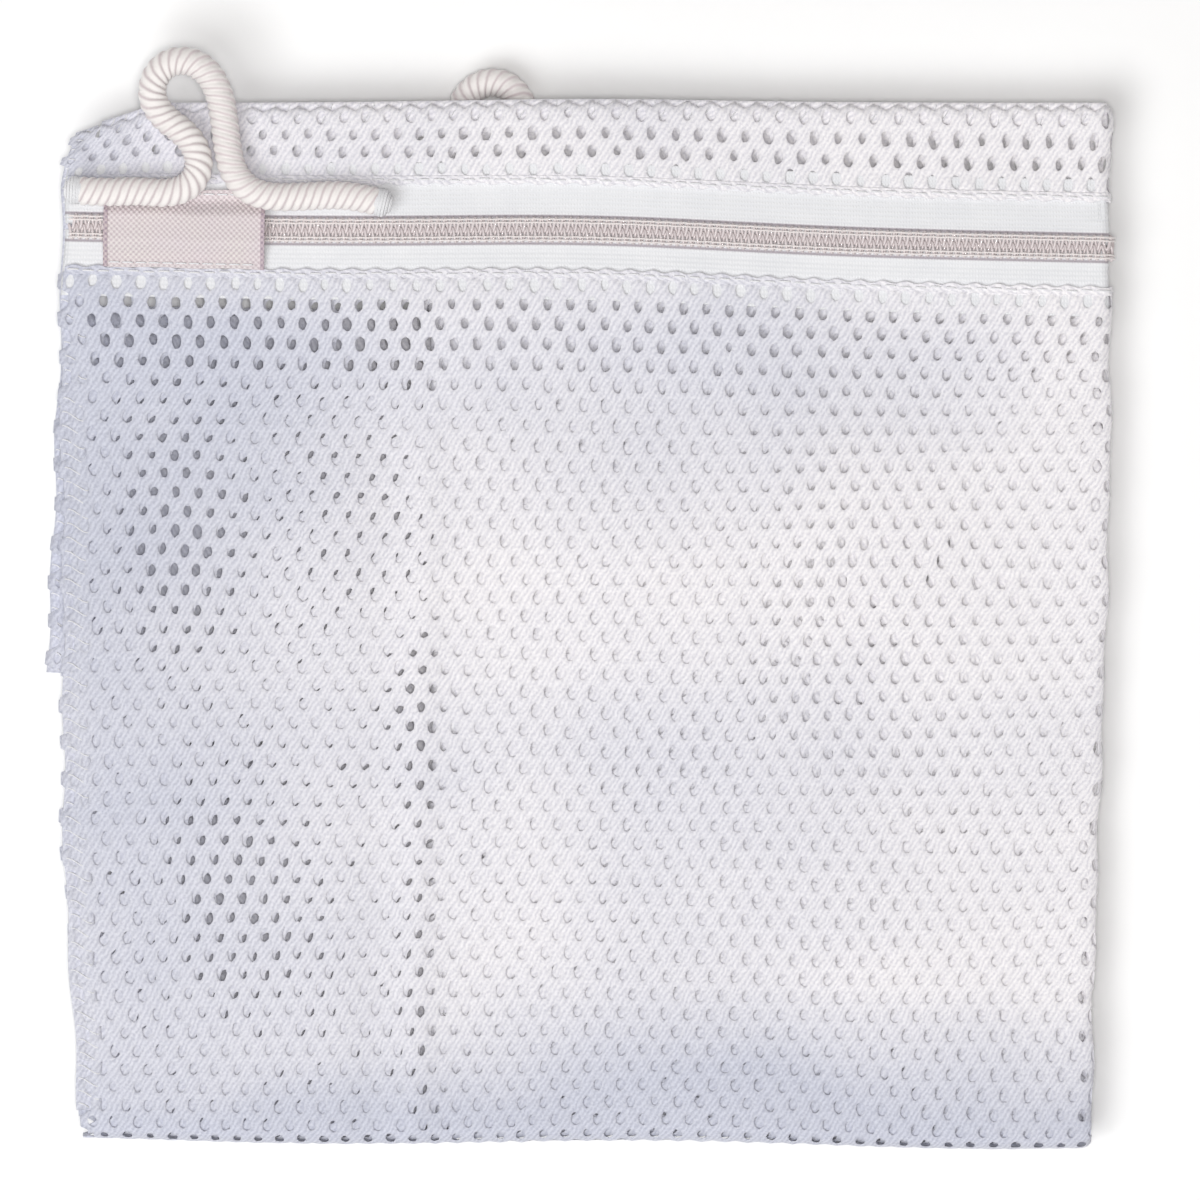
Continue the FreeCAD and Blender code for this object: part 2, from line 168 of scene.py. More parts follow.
def near_end(distance):
    """1 at a seam, falling to 0 where the panels lie flat."""
    return np.clip(1 - distance / EDGE_CURL, 0, 1) ** 2


def round_turn(s, start, straight, turn):
    """The angle that cloth has turned at the right edge, at distance s from its start, and x there."""
    theta = np.clip((s - straight) / turn, 0, 1) * math.pi
    back = np.where(s > straight + turn, FOLD + straight + turn - s, FOLD)
    return theta, np.where(s < straight, start + s, back)


def past_folds(panel, u, v):
    """The angle turned at the right edge, x, and how far along the cloth a point is past each fold."""
    theta, x = round_turn(u, LEFT, WIDE, bend_length(panel))
    past_outer = v - V_OUTER
    y = OUTER_FOLD + past_outer - fold_length(panel, 0)
    past_inner = (x - LEFT) * NORMAL[0] + (y - INNER_FOLD) * NORMAL[1]
    return theta, x, past_outer, np.where(y > OUTER_FOLD, past_inner, -1)


def halfway(pair, turned):
    """From the first of two heights to the second, as turned goes from 1 to -1."""
    return (pair[0] + pair[1]) / 2 + (pair[0] - pair[1]) / 2 * turned


def folded(panel, u, v):
    """Places in the folded bag of points (u, v) of a panel."""
    theta, x, past_outer, past_inner = past_folds(panel, u, v)
    outer, inner = fold_length(panel, 0), fold_length(panel, 1)
    sides = np.maximum(near_end(u), near_end(across(panel) - u))
    ends = (near_end(v), 0, near_end(inner + HEM_LENGTH - past_inner))
    sunk = smooth(v, TOP - ZIP_Y + SUNK[0], TOP - ZIP_Y + SUNK[1])
    pile = (PILE[0] + PILE[1]) / 2 if panel is SEAM else PILE[0 if panel is FRONT else 1]

    def level(section):
        pair = panel[section]
        if section == 0:
            pair = [loose + (flat - loose) * sunk for loose, flat in zip(pair, pile)]
        z = halfway(pair, np.cos(theta))
        seam = halfway(SEAM[section], np.cos(theta))
        return z + (seam - z) * np.maximum(sides, ends[section])

    heights = [level(section) for section in range(3)]
    bulges = [abs(wide - tucked) / 2 for wide, tucked in panel]
    # round the outer fold, where the cloth goes down and back under itself
    phi = np.clip(past_outer / outer, 0, 1) * math.pi
    z = halfway(heights[:2], np.cos(phi))
    y = np.where(past_outer < 0, TOP - v, OUTER_FOLD + np.clip(past_outer - outer, 0, None))
    y = y - np.abs(heights[0] - heights[1]) / 2 * np.sin(phi)
    x = x + (bulges[0] + (bulges[1] - bulges[0]) * phi / math.pi) * np.sin(theta)
    # round the inner fold, which slopes down to the right
    psi = np.clip(past_inner / inner, 0, 1) * math.pi
    z = np.where(past_inner > 0, halfway(heights[1:], np.cos(psi)), z)
    rise = np.abs(heights[1] - heights[2]) / 2 * np.sin(psi) - np.clip(past_inner - inner, 0, None)
    move = np.where(past_inner > 0, rise - past_inner, 0)
    return join(x + move * NORMAL[0], y + move * NORMAL[1], z)


def settle(points):
    """Small irregularities of the whole folded bag, the same for all its layers at one place."""
    x, y, z = (np.array(points[..., axis], float) for axis in (X, Y, Z))
    right, left = np.clip(x / FOLD, 0, 1), np.clip(x / LEFT, 0, 1)
    # both sides run in towards the bottom, and neither is straight
    dx = -3.4 * right * smooth(-y, -45, 95) + left * (2.6 * smooth(-y, 30, 95) - 0.5 * smooth(y, 15, 35))
    dx += 0.35 * right * np.sin(y * 0.31) * np.sin(y * 0.083 + 1.0) + 0.3 * left * np.sin(y * 0.27 + 2)
    # the bottom slopes and is wavy
    dy = 0.45 * np.sin(x * 0.055 + 0.8) * smooth(-y, 60, 90) + 1.3 * smooth(-y, 70, 92) * (0.4 - x / 180)
    # the top left corner is soft and crumpled
    corner = np.clip(1 - (x - LEFT) / 17, 0, 1) * np.clip(1 - (TOP - y) / 15, 0, 1)
    dx += 2.6 * corner
    dy -= 5.0 * corner
    # the chain bows up a little in its middle
    bow = 1.2 * hump(x, 2, 34) * hump(y, ZIP_Y, 28)
    # soft waves, which grow with the height of the pile and stay off the zipper and the loops
    free = (1 - smooth(y, 48, 62) * smooth(-x, 10, 26)) * (1 - 0.85 * hump(y, ZIP_Y, 9, 4))
    wave = (0.55 * np.sin(x * 0.047 + y * 0.021 + 0.6) + 0.5 * np.sin(y * 0.068 - x * 0.017 + 1.9)
            + 0.3 * np.sin(x * 0.13 + 1.1) * np.sin(y * 0.09 + 0.3))
    # an old crease runs down the front, a ridge with a valley to its left
    crease_x = x - 0.02 * y
    wave += (0.9 * hump(crease_x, -27.5, 3.0) - 0.8 * hump(crease_x, -34, 5.0)) * smooth(-y, -45, -25)
    share = np.clip(z, 0, 14) / 12
    dz = share * (free * wave + 1.2 * corner * np.sin(x * 0.7) * np.sin(y * 0.55))
    return join(x + dx, y + dy + bow, np.maximum(z + dz, 0.02))


# --- mesh building
def put(name, points, faces, cloth_uv, look, body="front_section", stands_for=()):
    """A mesh object from arrays: points in millimetres, quads or triangles, and a (u, v) per point.

    look is the material and its slot. stands_for names the CAD nodes that the piece replaces.
    """
    material, slot = look
    mesh = bpy.data.meshes.new(name)
    faces = [np.asarray(group) for group in faces if len(group)]
    corners = np.concatenate([group.ravel() for group in faces]).astype(np.int32)
    sizes = np.concatenate([np.full(len(group), group.shape[1]) for group in faces])
    starts = np.concatenate([[0], np.cumsum(sizes)[:-1]]).astype(np.int32)
    mesh.vertices.add(len(points))
    mesh.vertices.foreach_set("co", (np.asarray(points, np.float64) * MM).astype(np.float32).ravel())
    mesh.loops.add(len(corners))
    mesh.loops.foreach_set("vertex_index", corners)
    mesh.polygons.add(len(sizes))
    mesh.polygons.foreach_set("loop_start", starts)
    layer = mesh.uv_layers.new(name="cloth")
    layer.data.foreach_set("uv", np.asarray(cloth_uv, np.float32)[corners].ravel())
    mesh.update(calc_edges=True)
    mesh.validate()
    mesh.polygons.foreach_set("use_smooth", np.ones(len(sizes), bool))
    mesh.materials.append(material)
    piece = bpy.data.objects.new(name, mesh)
    bpy.context.scene.collection.objects.link(piece)
    if body:
        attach(piece, body)
    if stands_for:
        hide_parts(*stands_for)
    return piece


def normals_of(place, u, v):
    """Unit normals of a surface place(u, v), by small differences."""
    step = 0.05
    along_u = place(u + step, v) - place(u - step, v)
    along_v = place(u, v + step) - place(u, v - step)
    normal = np.cross(along_v, along_u)
    return normal / np.maximum(np.linalg.norm(normal, axis=-1, keepdims=True), 1e-9)


def slab(name, place, across_values, along_values, thick, look, relief, body="front_section", stands_for=()):
    """A closed strip of cloth on the surface place(u, v), thicker by relief(u, v) on its outer side."""
    u, v = (part.ravel() for part in np.meshgrid(across_values, along_values, indexing="ij"))
    middle, normal = place(u, v), normals_of(place, u, v)
    outer = middle + normal * (thick / 2 + relief(u, v))[:, None]
    inner = middle - normal * thick / 2
    rows, columns = len(across_values), len(along_values)
    index = np.arange(rows * columns).reshape(rows, columns)
    quads = quads_of(index[:-1, :-1], index[:-1, 1:], index[1:, 1:], index[1:, :-1])
    border = np.concatenate([index[0], index[1:, -1], index[-1, -2::-1], index[-2:0:-1, 0]])
    following, under = np.roll(border, -1), rows * columns
    wall = join(following, border, border + under, following + under)
    faces = np.concatenate([quads, (quads + under)[:, ::-1], wall])
    flat = join(np.tile(u, 2), np.tile(v, 2))
    return put(name, np.concatenate([outer, inner]), [faces], flat, look, body, stands_for)


def threads(name, lines, references, radius, look, body="front_section", stands_for=(), sides=6,
            around=None):
    """Round threads along lines (count, points, 3), as one piece.

    references are vectors that are never in line with a thread. around(length, angle), if given,
    multiplies the radius.
    """
    lines = np.asarray(lines)
    tangents = np.gradient(lines, axis=1)
    tangents /= np.linalg.norm(tangents, axis=-1, keepdims=True)
    binormals = np.cross(tangents, references)
    binormals /= np.linalg.norm(binormals, axis=-1, keepdims=True)
    normals = np.cross(binormals, tangents)
    angles = (np.arange(sides) / sides + 0.5) * 2 * math.pi
    steps = np.linalg.norm(np.diff(lines, axis=1), axis=-1)
    lengths = np.concatenate([np.zeros((len(lines), 1)), np.cumsum(steps, axis=1)], axis=1)
    reach = np.broadcast_to(np.asarray(radius, float)[..., None], lines.shape[:2] + (sides,))
    if around:
        reach = reach * around(lengths[..., None], angles)
    circles = (np.cos(angles)[:, None] * normals[:, :, None]
               + np.sin(angles)[:, None] * binormals[:, :, None])
    rings = lines[:, :, None] + reach[..., None] * circles
    index = np.arange(reach.size).reshape(reach.shape)
    turned = np.roll(index, -1, axis=2)
    walls = quads_of(index[:, :-1], turned[:, :-1], turned[:, 1:], index[:, 1:])
    caps = np.concatenate([index[:, 0][:, ::-1], index[:, -1]])
    flat = join(lengths[..., None], angles * np.max(radius))
    return put(name, rings.reshape(-1, 3), [walls, caps], flat.reshape(-1, 2), look, body, stands_for)


# --- the net
PITCH_U, PITCH_V = 3.97, 3.28       # from hole to hole along a row, and from row to row
HOLE_U, HOLE_V = 0.78, 1.14         # half the size of a hole
THREAD = 0.19                       # half the net's thickness
HEXAGON = np.array([(0, 2 / 3), (0.5, 1 / 3), (0.5, -1 / 3),
                    (0, -2 / 3), (-0.5, -1 / 3), (-0.5, 1 / 3)])
OPEN_SPOTS = (                      # strength, then middle and spread along X, then along Y
    (1.1, 54, 22, 4, 33), (0.8, -68, 12, 22, 34), (0.5, -60, 14, -48, 26), (0.7, -27, 5, -30, 50))


def hexagon_points(between):
    """The corners of a cell of the net, with so many further points on each of its sides."""
    corners = HEXAGON * (PITCH_U, PITCH_V)
    following = np.roll(corners, -1, axis=0)
    shares = np.arange(between + 1) / (between + 1)
    return np.concatenate([a + (b - a) * shares[:, None] for a, b in zip(corners, following)])


def sway(u, v, seed):
    """Smooth, irregular shifts of the net in its own plane, different for each seed."""
    a = (0.9 * np.sin(u * 0.043 + seed) * np.sin(v * 0.037 + 1.7 * seed)
         + 0.35 * np.sin(u * 0.11 + v * 0.06 + 2.3 * seed))
    b = 0.8 * np.sin(u * 0.031 - v * 0.029 + 0.9 * seed) + 0.3 * np.sin(v * 0.13 + u * 0.05 + seed)
    return a, b


def open_patches(x, y):
    """1 where the holes of the layers lie over each other, so that one sees deep, and 0 elsewhere."""
    patches = sum(strength * hump(x, at_x, spread_x) * hump(y, at_y, spread_y)
                  for strength, at_x, spread_x, at_y, spread_y in OPEN_SPOTS)
    patches = patches + hump(y + 0.05 * x, 49, 8) * smooth(-x, -85, 60)     # the rows under the zipper
    patches += 0.8 * hump(y, 84, 5) * smooth(x, -60, 10)                    # the top strip
    return np.clip(patches + 0.2 * np.sin(x * 0.09 + 1) * np.sin(y * 0.11), 0, 1)


def panel_flow(panel, seed, shift):
    """How a panel's net lies in its own plane: flow(u, v) moves the regular lattice to its place.

    Its rows run with the zipper beside it and straight across at the outer fold. shift is how far
    its holes lie beside those of the panel over it, where they don't lie over each other.
    """
    def flow(u, v):
        turn = bend_length(panel)
        x = LEFT + np.minimum(u, np.minimum(WIDE, np.maximum(2 * WIDE + turn - u, 0)))
        apart = shift * (1 - open_patches(x, TOP - v))
        common_u, common_v = sway(u, v, 1.0)
        own_u, own_v = sway(u, v, seed)
        with_zip = math.tan(TILT) * x * smooth(v, 0, 14) * smooth(-v, 20 - V_OUTER, ZIP_Y - TOP)
        free = 0.8 * smooth(np.abs(v - TOP + ZIP_Y), 11, 34)        # the zipper holds the net straight
        return (u + 0.8 * common_u + apart * (0.3 * PITCH_U + 0.5 * own_u),
                v + free * common_v + with_zip + apart * (0.55 * PITCH_V + 0.5 * own_v))
    return flow


def crease(mesh, first):
    """Make sharp every edge between two points from the first one on: here, the edges of the holes."""
    ends = np.empty(len(mesh.edges) * 2, np.int32)
    mesh.edges.foreach_get("vertices", ends)
    sharp = mesh.attributes.new("sharp_edge", "BOOLEAN", "EDGE")
    sharp.data.foreach_set("value", (ends.reshape(-1, 2) >= first).all(axis=1))


def net(name, panel, seed, shift, rows, origin, least_v, between):
    """A piece of net: a lattice of holes in a closed sheet of round threads.

    rows are its first row and the one after its last, and its cells lie below least_v. Every cell is
    a raised rim, which it shares with its neighbours, and a hole, joined by sloping faces above and
    below. Returns the piece and its points' places (u, v) in the panel.
    """
    flow = panel_flow(panel, seed, shift)

    def place(u, v):
        return folded(panel, *flow(u, v))

    def following(part):
        return np.roll(part, -1, axis=1)

    columns = int((across(panel) - origin[0]) / PITCH_U)
    row, column = np.meshgrid(np.arange(*rows), np.arange(columns), indexing="ij")
    centres = join(origin[0] + (column + (row % 2) / 2) * PITCH_U, origin[1] + row * PITCH_V)
    centres = centres[centres[..., 1] > least_v]
    rim = hexagon_points(between)
    sides = len(rim)
    rim_points = (centres[:, None] + rim[None]).reshape(-1, 2)
    _, first, index = np.unique(np.round(rim_points, 2), axis=0, return_index=True, return_inverse=True)
    index = index.reshape(-1, sides)
    crest = rim_points[first]

    random = np.random.default_rng(int(seed * 1000) + rows[0])
    angles = np.arctan2(rim[:, 0] / PITCH_U, rim[:, 1] / PITCH_V)
    grow = 1 + 0.09 * random.standard_normal((len(centres), 1))
    nudge = 0.09 * random.standard_normal((len(centres), 1, 2))
    wobble = 1 + 0.06 * random.standard_normal((len(centres), sides))
    hole = join(HOLE_U * np.sin(angles), HOLE_V * np.cos(angles))
    ring = (centres[:, None] + nudge + hole * (grow * wobble)[..., None]).reshape(-1, 2)

    thick = THREAD * (1 + 0.12 * random.standard_normal(len(crest)))
    crest_at = place(*crest.T)
    crest_up = normals_of(place, *crest.T) * thick[:, None]
    points = np.concatenate([crest_at + crest_up, crest_at - crest_up, place(*ring.T)])
    flat = join(*flow(*np.concatenate([crest, crest, ring]).T))
    top, bottom = index, index + len(crest)
    waist = (2 * len(crest) + np.arange(len(ring))).reshape(-1, sides)
    upper = quads_of(top, following(top), following(waist), waist)
    lower = quads_of(bottom, waist, following(waist), following(bottom))
    # walls along the piece's own edge, where a rim has a cell on one side only
    pairs = join(index, following(index)).reshape(-1, 2)
    _, at, count = np.unique(np.sort(pairs, axis=1), axis=0, return_inverse=True, return_counts=True)
    start, stop = pairs[count[at.ravel()] == 1].T
    wall = join(stop, start, start + len(crest), stop + len(crest))
    piece = put(name, settle(points), [np.concatenate([upper, lower, wall])], flat, mesh_cloth, None)
    crease(piece.data, 2 * len(crest))
    return piece, flat


# --- sizes that shapes and materials share
COIL_EDGE = 2.35            # from the chain's middle to the coil's outer edge
CORD = 4.8                  # diameter of the hanging loops' cord
RIB_PITCH = 1.5             # from turn to turn of its winding
RIB_DEPTH = 0.40
RIB_STARTS = 4              # strands wound side by side, which make the turns lean
WEAVE = 0.48                # from thread to thread of the elastic


# --- materials
class Value:
    """The output of a node, which takes part in sums as a number does."""

    def __init__(self, nodes, socket):
        self.nodes, self.socket = nodes, socket

    def maths(self, operation, other=0.0):
        return self.nodes.add("Math", 0, {0: self, 1: other}, operation=operation)

    def __add__(self, other):
        return self.maths("ADD", other)

    def __sub__(self, other):
        return self.maths("SUBTRACT", other)

    def __mul__(self, other):
        return self.maths("MULTIPLY", other)

    def __abs__(self):
        return self.maths("ABSOLUTE")

    def ramp(self, start, stop, low_value=0.0, high_value=1.0):
        return self.nodes.add("MapRange", "Result", {
            "Value": self, "From Min": start, "From Max": stop, "To Min": low_value, "To Max": high_value})

    def axis(self, name):
        return self.nodes.add("SeparateXYZ", name, {"Vector": self})

    def scaled(self, *factors):
        return self.nodes.add("VectorMath", "Vector", {0: self, 1: factors}, operation="MULTIPLY")

    def noise(self, scale, detail=3.0, roughness=0.5, distortion=0.0):
        return self.nodes.add("TexNoise", "Fac", {"Vector": self, "Scale": scale, "Detail": detail,
                                                  "Roughness": roughness, "Distortion": distortion})

    def stripes(self, scale, direction, distortion=0.0):
        return self.nodes.add("TexWave", "Fac", {"Vector": self, "Scale": scale, "Distortion": distortion},
                              bands_direction=direction)

    def mix(self, first, second):
        """Colour that goes from first to second as this value goes from 0 to 1."""
        first, second = (end if isinstance(end, Value) else (*end, 1) for end in (first, second))
        return self.nodes.add("Mix", 2, {0: self, 6: first, 7: second}, data_type="RGBA")

    def tinted(self, colour):
        return self.nodes.add("Mix", 2, {0: 1.0, 6: self, 7: colour}, data_type="RGBA",
                              blend_type="MULTIPLY")


class Nodes:
    """The nodes of a material or a world."""

    def __init__(self, owner):
        owner.use_nodes = True
        self.tree = owner.node_tree

    def feed(self, target, value):
        """Give an input a number, a colour or the output of a node."""
        if isinstance(value, Value):
            self.tree.links.new(value.socket, target)
        else:
            target.default_value = value

    def add(self, kind, output, inputs=(), **settings):
        made = self.tree.nodes.new("ShaderNode" + kind)
        for key, value in settings.items():
            setattr(made, key, value)
        for key, value in dict(inputs).items():
            self.feed(made.inputs[key], value)
        return Value(self, made.outputs[output])


class Finish(Nodes):
    """A new material, whose Principled shader has the values given for its sockets."""

    def __init__(self, name, **sockets):
        self.material = bpy.data.materials.new(name)
        super().__init__(self.material)
        self.shader = self.tree.nodes["Principled BSDF"].inputs
        for socket, value in sockets.items():
            self.shader[socket.replace("_", " ")].default_value = value

    def cloth(self):
        """The (u, v) of each point in millimetres, which its weave and fibres follow."""
        return self.add("UVMap", "UV", uv_map="cloth")

    def place(self):
        return self.add("TexCoord", "Object")

    def done(self, colour, height=None, strength=0.0, depth_mm=0.0):
        """The material, with this colour and, if a height is given, its relief."""
        self.feed(self.shader["Base Color"], colour)
        if height:
            self.feed(self.shader["Normal"], self.add(
                "Bump", "Normal", {"Height": height, "Strength": strength, "Distance": depth_mm * MM}))
        return self.material


def make_mesh_cloth():
    """White knitted net: leaning stitches of soft fibre, with painted shade at its left and lower edges and
    under the zipper, and painted light at its right.
    """
    knit = Finish("knitted_net", Roughness=0.62, Sheen_Weight=0.25, Sheen_Roughness=0.5,
                  Specular_IOR_Level=0.35, Subsurface_Weight=0.2, Subsurface_Scale=0.0005,
                  Subsurface_Radius=(1.0, 1.0, 1.0))
    cloth, place = knit.cloth(), knit.place()
    # painted shade, cool and darker, at the net's left and lower edges and in a band under the zipper, and
    # painted light at its right, over random patches of tone; in metres over the folded bag
    x, y = place.axis("X"), place.axis("Y")
    edges = (x + y * 0.2).ramp(-0.085, -0.015, 1.0, 0.0).maths("MAXIMUM", y.ramp(-0.086, -0.062, 1.2, 0.0))
    clouds_and_painted_shading = place.noise(16, 3, 0.55) + place.scaled(0.35, 1.0, 1.0).noise(26, 2) - 0.82
    clouds_and_painted_shading = clouds_and_painted_shading - x.ramp(0.03, 0.085, 0.0, 0.4) + abs(y - 0.046).ramp(0.004, 0.018, 0.2, 0.0)
    tone = (edges * 0.85 + clouds_and_painted_shading).mix((0.985, 0.955, 0.97), (0.66, 0.675, 0.765))
    # its stitches and fibres, with painted shade in the gaps between the fibres
    fibres, courses = cloth.noise(2.2, 4, 0.7), cloth.scaled(1.6, 1.0, 1.0).stripes(0.38, "DIAGONAL", 4.5)
    pale = (fibres + courses * 0.22).ramp(0.42, 0.78).mix((0.72, 0.725, 0.76), (1.0, 1.0, 1.0))
    return knit.done(tone.tinted(pale), fibres + cloth.noise(0.9, 2, 0.6, 0.4), 0.5, 0.12)


def make_tape():
    """Woven polyester tape: fine ribs along it, crossed by weft threads, and a painted shadow line beside
    the coil.
    """
    weave = Finish("woven_tape", Roughness=0.6, Sheen_Weight=0.2, Specular_IOR_Level=0.35)
    cloth = weave.cloth()
    warp = cloth.stripes(0.39, "X", 0.15)
    tone = (warp * 0.35 + cloth.noise(0.16) * 0.65).mix((0.73, 0.74, 0.77), (0.87, 0.872, 0.885))
    # painted shadow: a dark line along the tape at the coil's outer edge
    line = abs(abs(cloth.axis("X")) - COIL_EDGE).ramp(0.12, 0.34, 0.8, 0.0)
    height = warp * cloth.stripes(0.62, "Y", 0.15) + cloth.noise(2.5)
    return weave.done(line.mix(tone, (0.33, 0.28, 0.32)), height, 0.45, 0.14)


def make_coil():
    """Beige-mauve nylon monofilament, slightly glossy."""
    nylon = Finish("nylon_coil", Roughness=0.38, Specular_IOR_Level=0.5, Coat_Weight=0.15)
    cloth = nylon.cloth()
    tone = cloth.noise(0.35, 4, 0.6).mix((0.62, 0.55, 0.56), (0.78, 0.71, 0.705))
    return nylon.done(tone, cloth.noise(4.0, 3), 0.25, 0.05)


def make_thread(name, first, second):
    """Twisted sewing thread."""
    thread = Finish(name, Roughness=0.5, Sheen_Weight=0.3, Specular_IOR_Level=0.4)
    cloth = thread.cloth()
    twist = cloth.stripes(1.3, "DIAGONAL", 0.3)
    return thread.done((twist * 0.5 + cloth.noise(0.6) * 0.5).mix(first, second), twist, 0.5, 0.08)


def make_elastic(name, gaps, cool, warm):
    """Woven elastic: covered threads that cross, with painted shade between them."""
    weave = Finish(name, Roughness=0.65, Sheen_Weight=0.25, Specular_IOR_Level=0.3)
    cloth = weave.cloth()
    across_it, along_it = ((cloth.axis(axis) * (math.pi / WEAVE)).maths("SINE") for axis in "XY")
    pillows, fibres = across_it * along_it, cloth.noise(3.5, 4, 0.65)
    # painted shade: darker between the raised pillows of thread, lighter on them
    light = pillows.ramp(-0.9, 0.6, 0.0, 0.75) + (fibres - 0.5) * 0.6
    tone = cloth.noise(0.14, 2).ramp(0.3, 0.7).mix(cool, warm)
    return weave.done(light.mix(gaps, tone), pillows + fibres, 0.4, 0.1)


def make_cord():
    """Off-white gimp cord: fibres wound round a core, with painted shade in the grooves between the turns.
    """
    gimp = Finish("wound_cord", Roughness=0.6, Sheen_Weight=0.3, Specular_IOR_Level=0.35)
    cloth = gimp.cloth()
    fibres = cloth.noise(3.0, 4, 0.65)
    turns = cloth.axis("X") * (math.pi / RIB_PITCH) + cloth.axis("Y") * (RIB_STARTS / CORD)
    crest = abs((turns + cloth.noise(0.5) * 0.9).maths("COSINE"))
    # painted shade: mauve grey in the grooves, light on the crests of the turns
    share = crest.ramp(0.1, 0.75) + (fibres - 0.5) * 0.5
    return gimp.done(share.mix((0.66, 0.58, 0.59), (0.885, 0.85, 0.83)), fibres, 0.5, 0.12)


def make_enamel():
    """Enamelled die casting with brighter, worn edges."""
    metal = Finish("enamelled_metal", Metallic=0.35, Coat_Weight=0.4, Coat_Roughness=0.15)
    scuffs = metal.place().noise(900, 5, 0.7, 0.6)
    worn = (metal.add("NewGeometry", "Pointiness") + scuffs * 0.12).ramp(0.54, 0.64)
    metal.feed(metal.shader["Roughness"], scuffs.ramp(0.3, 0.7, 0.25, 0.42))
    return metal.done(worn.mix((0.62, 0.57, 0.58), (0.80, 0.79, 0.78)), scuffs, 0.2, 0.03)


def make_floor():
    pale = Finish("pale_floor", Roughness=0.8, Specular_IOR_Level=0.2)
    return pale.done(pale.place().noise(60, 3).mix((0.985, 0.985, 0.985), (1.0, 1.0, 1.0)))


# each look is a material and the slot that it goes in
mesh_cloth = (make_mesh_cloth(), "mesh")
woven_tape = (make_tape(), "zipper_tape")
nylon_coil = (make_coil(), "zipper_coil")
white_thread = (make_thread("white_thread", (0.74, 0.74, 0.77), (0.90, 0.90, 0.91)), "thread")
coil_thread = (make_thread("coil_thread", (0.78, 0.715, 0.71), (0.93, 0.88, 0.86)), "thread")
elastic = (make_elastic("woven_elastic", (0.58, 0.50, 0.525), (0.845, 0.775, 0.80),
                        (0.865, 0.825, 0.785)), "elastic")
# a darker copy of the elastic for the sleeve's hems: painted shade of the gap under the sleeve's ends
shaded_elastic_edge = (make_elastic("shaded_elastic_edge", (0.36, 0.28, 0.34), (0.66, 0.55, 0.60),
                             (0.74, 0.65, 0.62)), "elastic")
wound_cord = (make_cord(), "cord")
enamel = (make_enamel(), "slider_metal")

# --- camera, lights and floor
FRAME_WIDE = 206.9                  # width of the picture at the height of the front panel
FRAME_MIDDLE = (3.7, 4.5)
CAMERA_HIGH = 1900.0
SENSOR = 36.0
FLOOR_HALF, FLOOR_Z = 3.0, -0.0004  # in metres


def add_to_scene(name, data, place=(0, 0, 0)):
    made = bpy.data.objects.new(name, data)
    made.location = place
    bpy.context.scene.collection.objects.link(made)
    return made


def camera():
    data = bpy.data.cameras.new("camera")
    data.sensor_width = SENSOR
    data.lens = SENSOR * (CAMERA_HIGH - high("front_panel", Z)) / FRAME_WIDE
    data.clip_end = 20
    place = (FRAME_MIDDLE[0] * MM, FRAME_MIDDLE[1] * MM, CAMERA_HIGH * MM)
    bpy.context.scene.camera = add_to_scene("camera", data, place)


def area_light(name, place, side, watts, colour):
    """A square lamp that shines at the frame's origin."""
    data = bpy.data.lights.new(name, "AREA")
    data.size, data.energy, data.color = side, watts, colour
    x, y, z = place
    add_to_scene(name, data, place).rotation_euler = (
        math.atan2(math.hypot(x, y), z), 0, math.atan2(-y, -x) - math.pi / 2)


def studio():
    """A large soft light from the front left, a small one overhead, pale surroundings and a floor."""
    bpy.context.scene.view_settings.view_transform = "Standard"
    area_light("key", (-0.5, -0.52, 1.45), 0.95, 15.5, (0.985, 0.995, 1.0))
    area_light("top", (0.03, -0.03, 1.88), 0.25, 13.5, (1.0, 0.98, 0.965))
    world = bpy.data.worlds.new("studio")
    sky = Nodes(world)
    background = sky.tree.nodes["Background"].inputs
    background["Color"].default_value = (1.0, 0.985, 0.97, 1)
    sky.feed(background["Strength"],
             sky.add("TexCoord", "Generated").axis("Z").ramp(0.05, 0.3, 0.95, 0.16))
    bpy.context.scene.world = world
    mesh = bpy.data.meshes.new("floor")
    corners = [(x * FLOOR_HALF, y * FLOOR_HALF, FLOOR_Z) for x, y in ((-1, -1), (1, -1), (1, 1), (-1, 1))]
    mesh.from_pydata(corners, [], [(0, 1, 2, 3)])
    mesh.materials.append(make_floor())
    add_to_scene("floor", mesh)


camera()
studio()

# --- hanging loops
FRONT_CORD_Z = 16.0
REAR_CORD_Z = 5.3
FRONT_ROUTE = [
    (-86.6, 75.0, 0), (-81.2, 74.6, 0), (-75.8, 74.9, 0), (-70.6, 74.4, 0), (-66.9, 75.6, 0),
    (-65.1, 78.8, -0.2), (-65.9, 82.6, -0.4), (-68.4, 85.4, -0.6), (-71.3, 87.4, -0.8),
    (-73.5, 90.6, -0.8), (-73.2, 94.4, -0.8), (-70.6, 97.2, -0.8), (-66.6, 97.4, -0.8),
    (-63.3, 95.0, -0.8), (-61.6, 91.1, -0.8), (-60.9, 86.6, -0.7), (-60.4, 82.0, -0.5),
    (-59.4, 78.0, -0.2), (-56.9, 75.0, 0), (-53.0, 73.8, -0.2), (-47.6, 73.9, -0.5),
    (-42.0, 74.3, -0.6), (-37.6, 73.8, -0.6), (-34.0, 72.9, -0.6),
]
REAR_ROUTE = [
    (-18.0, 73.4, 0), (-19.4, 77.8, 0), (-20.2, 82.2, 0), (-20.4, 86.4, 0), (-20.3, 90.3, 0),
    (-18.2, 93.2, 0), (-14.9, 94.3, 0), (-11.6, 93.2, 0), (-9.6, 90.3, 0), (-9.5, 86.2, 0),
    (-9.9, 81.8, 0), (-11.0, 77.4, 0), (-12.6, 73.4, 0),
]
FINE_STEP, PATH_STEP = 0.13, 0.8    # between the points of a cord's shape, and of its path
TACK_TURNS = 11                     # turns of thread over each end of a loop
TACK_PITCH = 0.27
SEWING_THREAD = 0.17                # radius of the bag's sewing thread


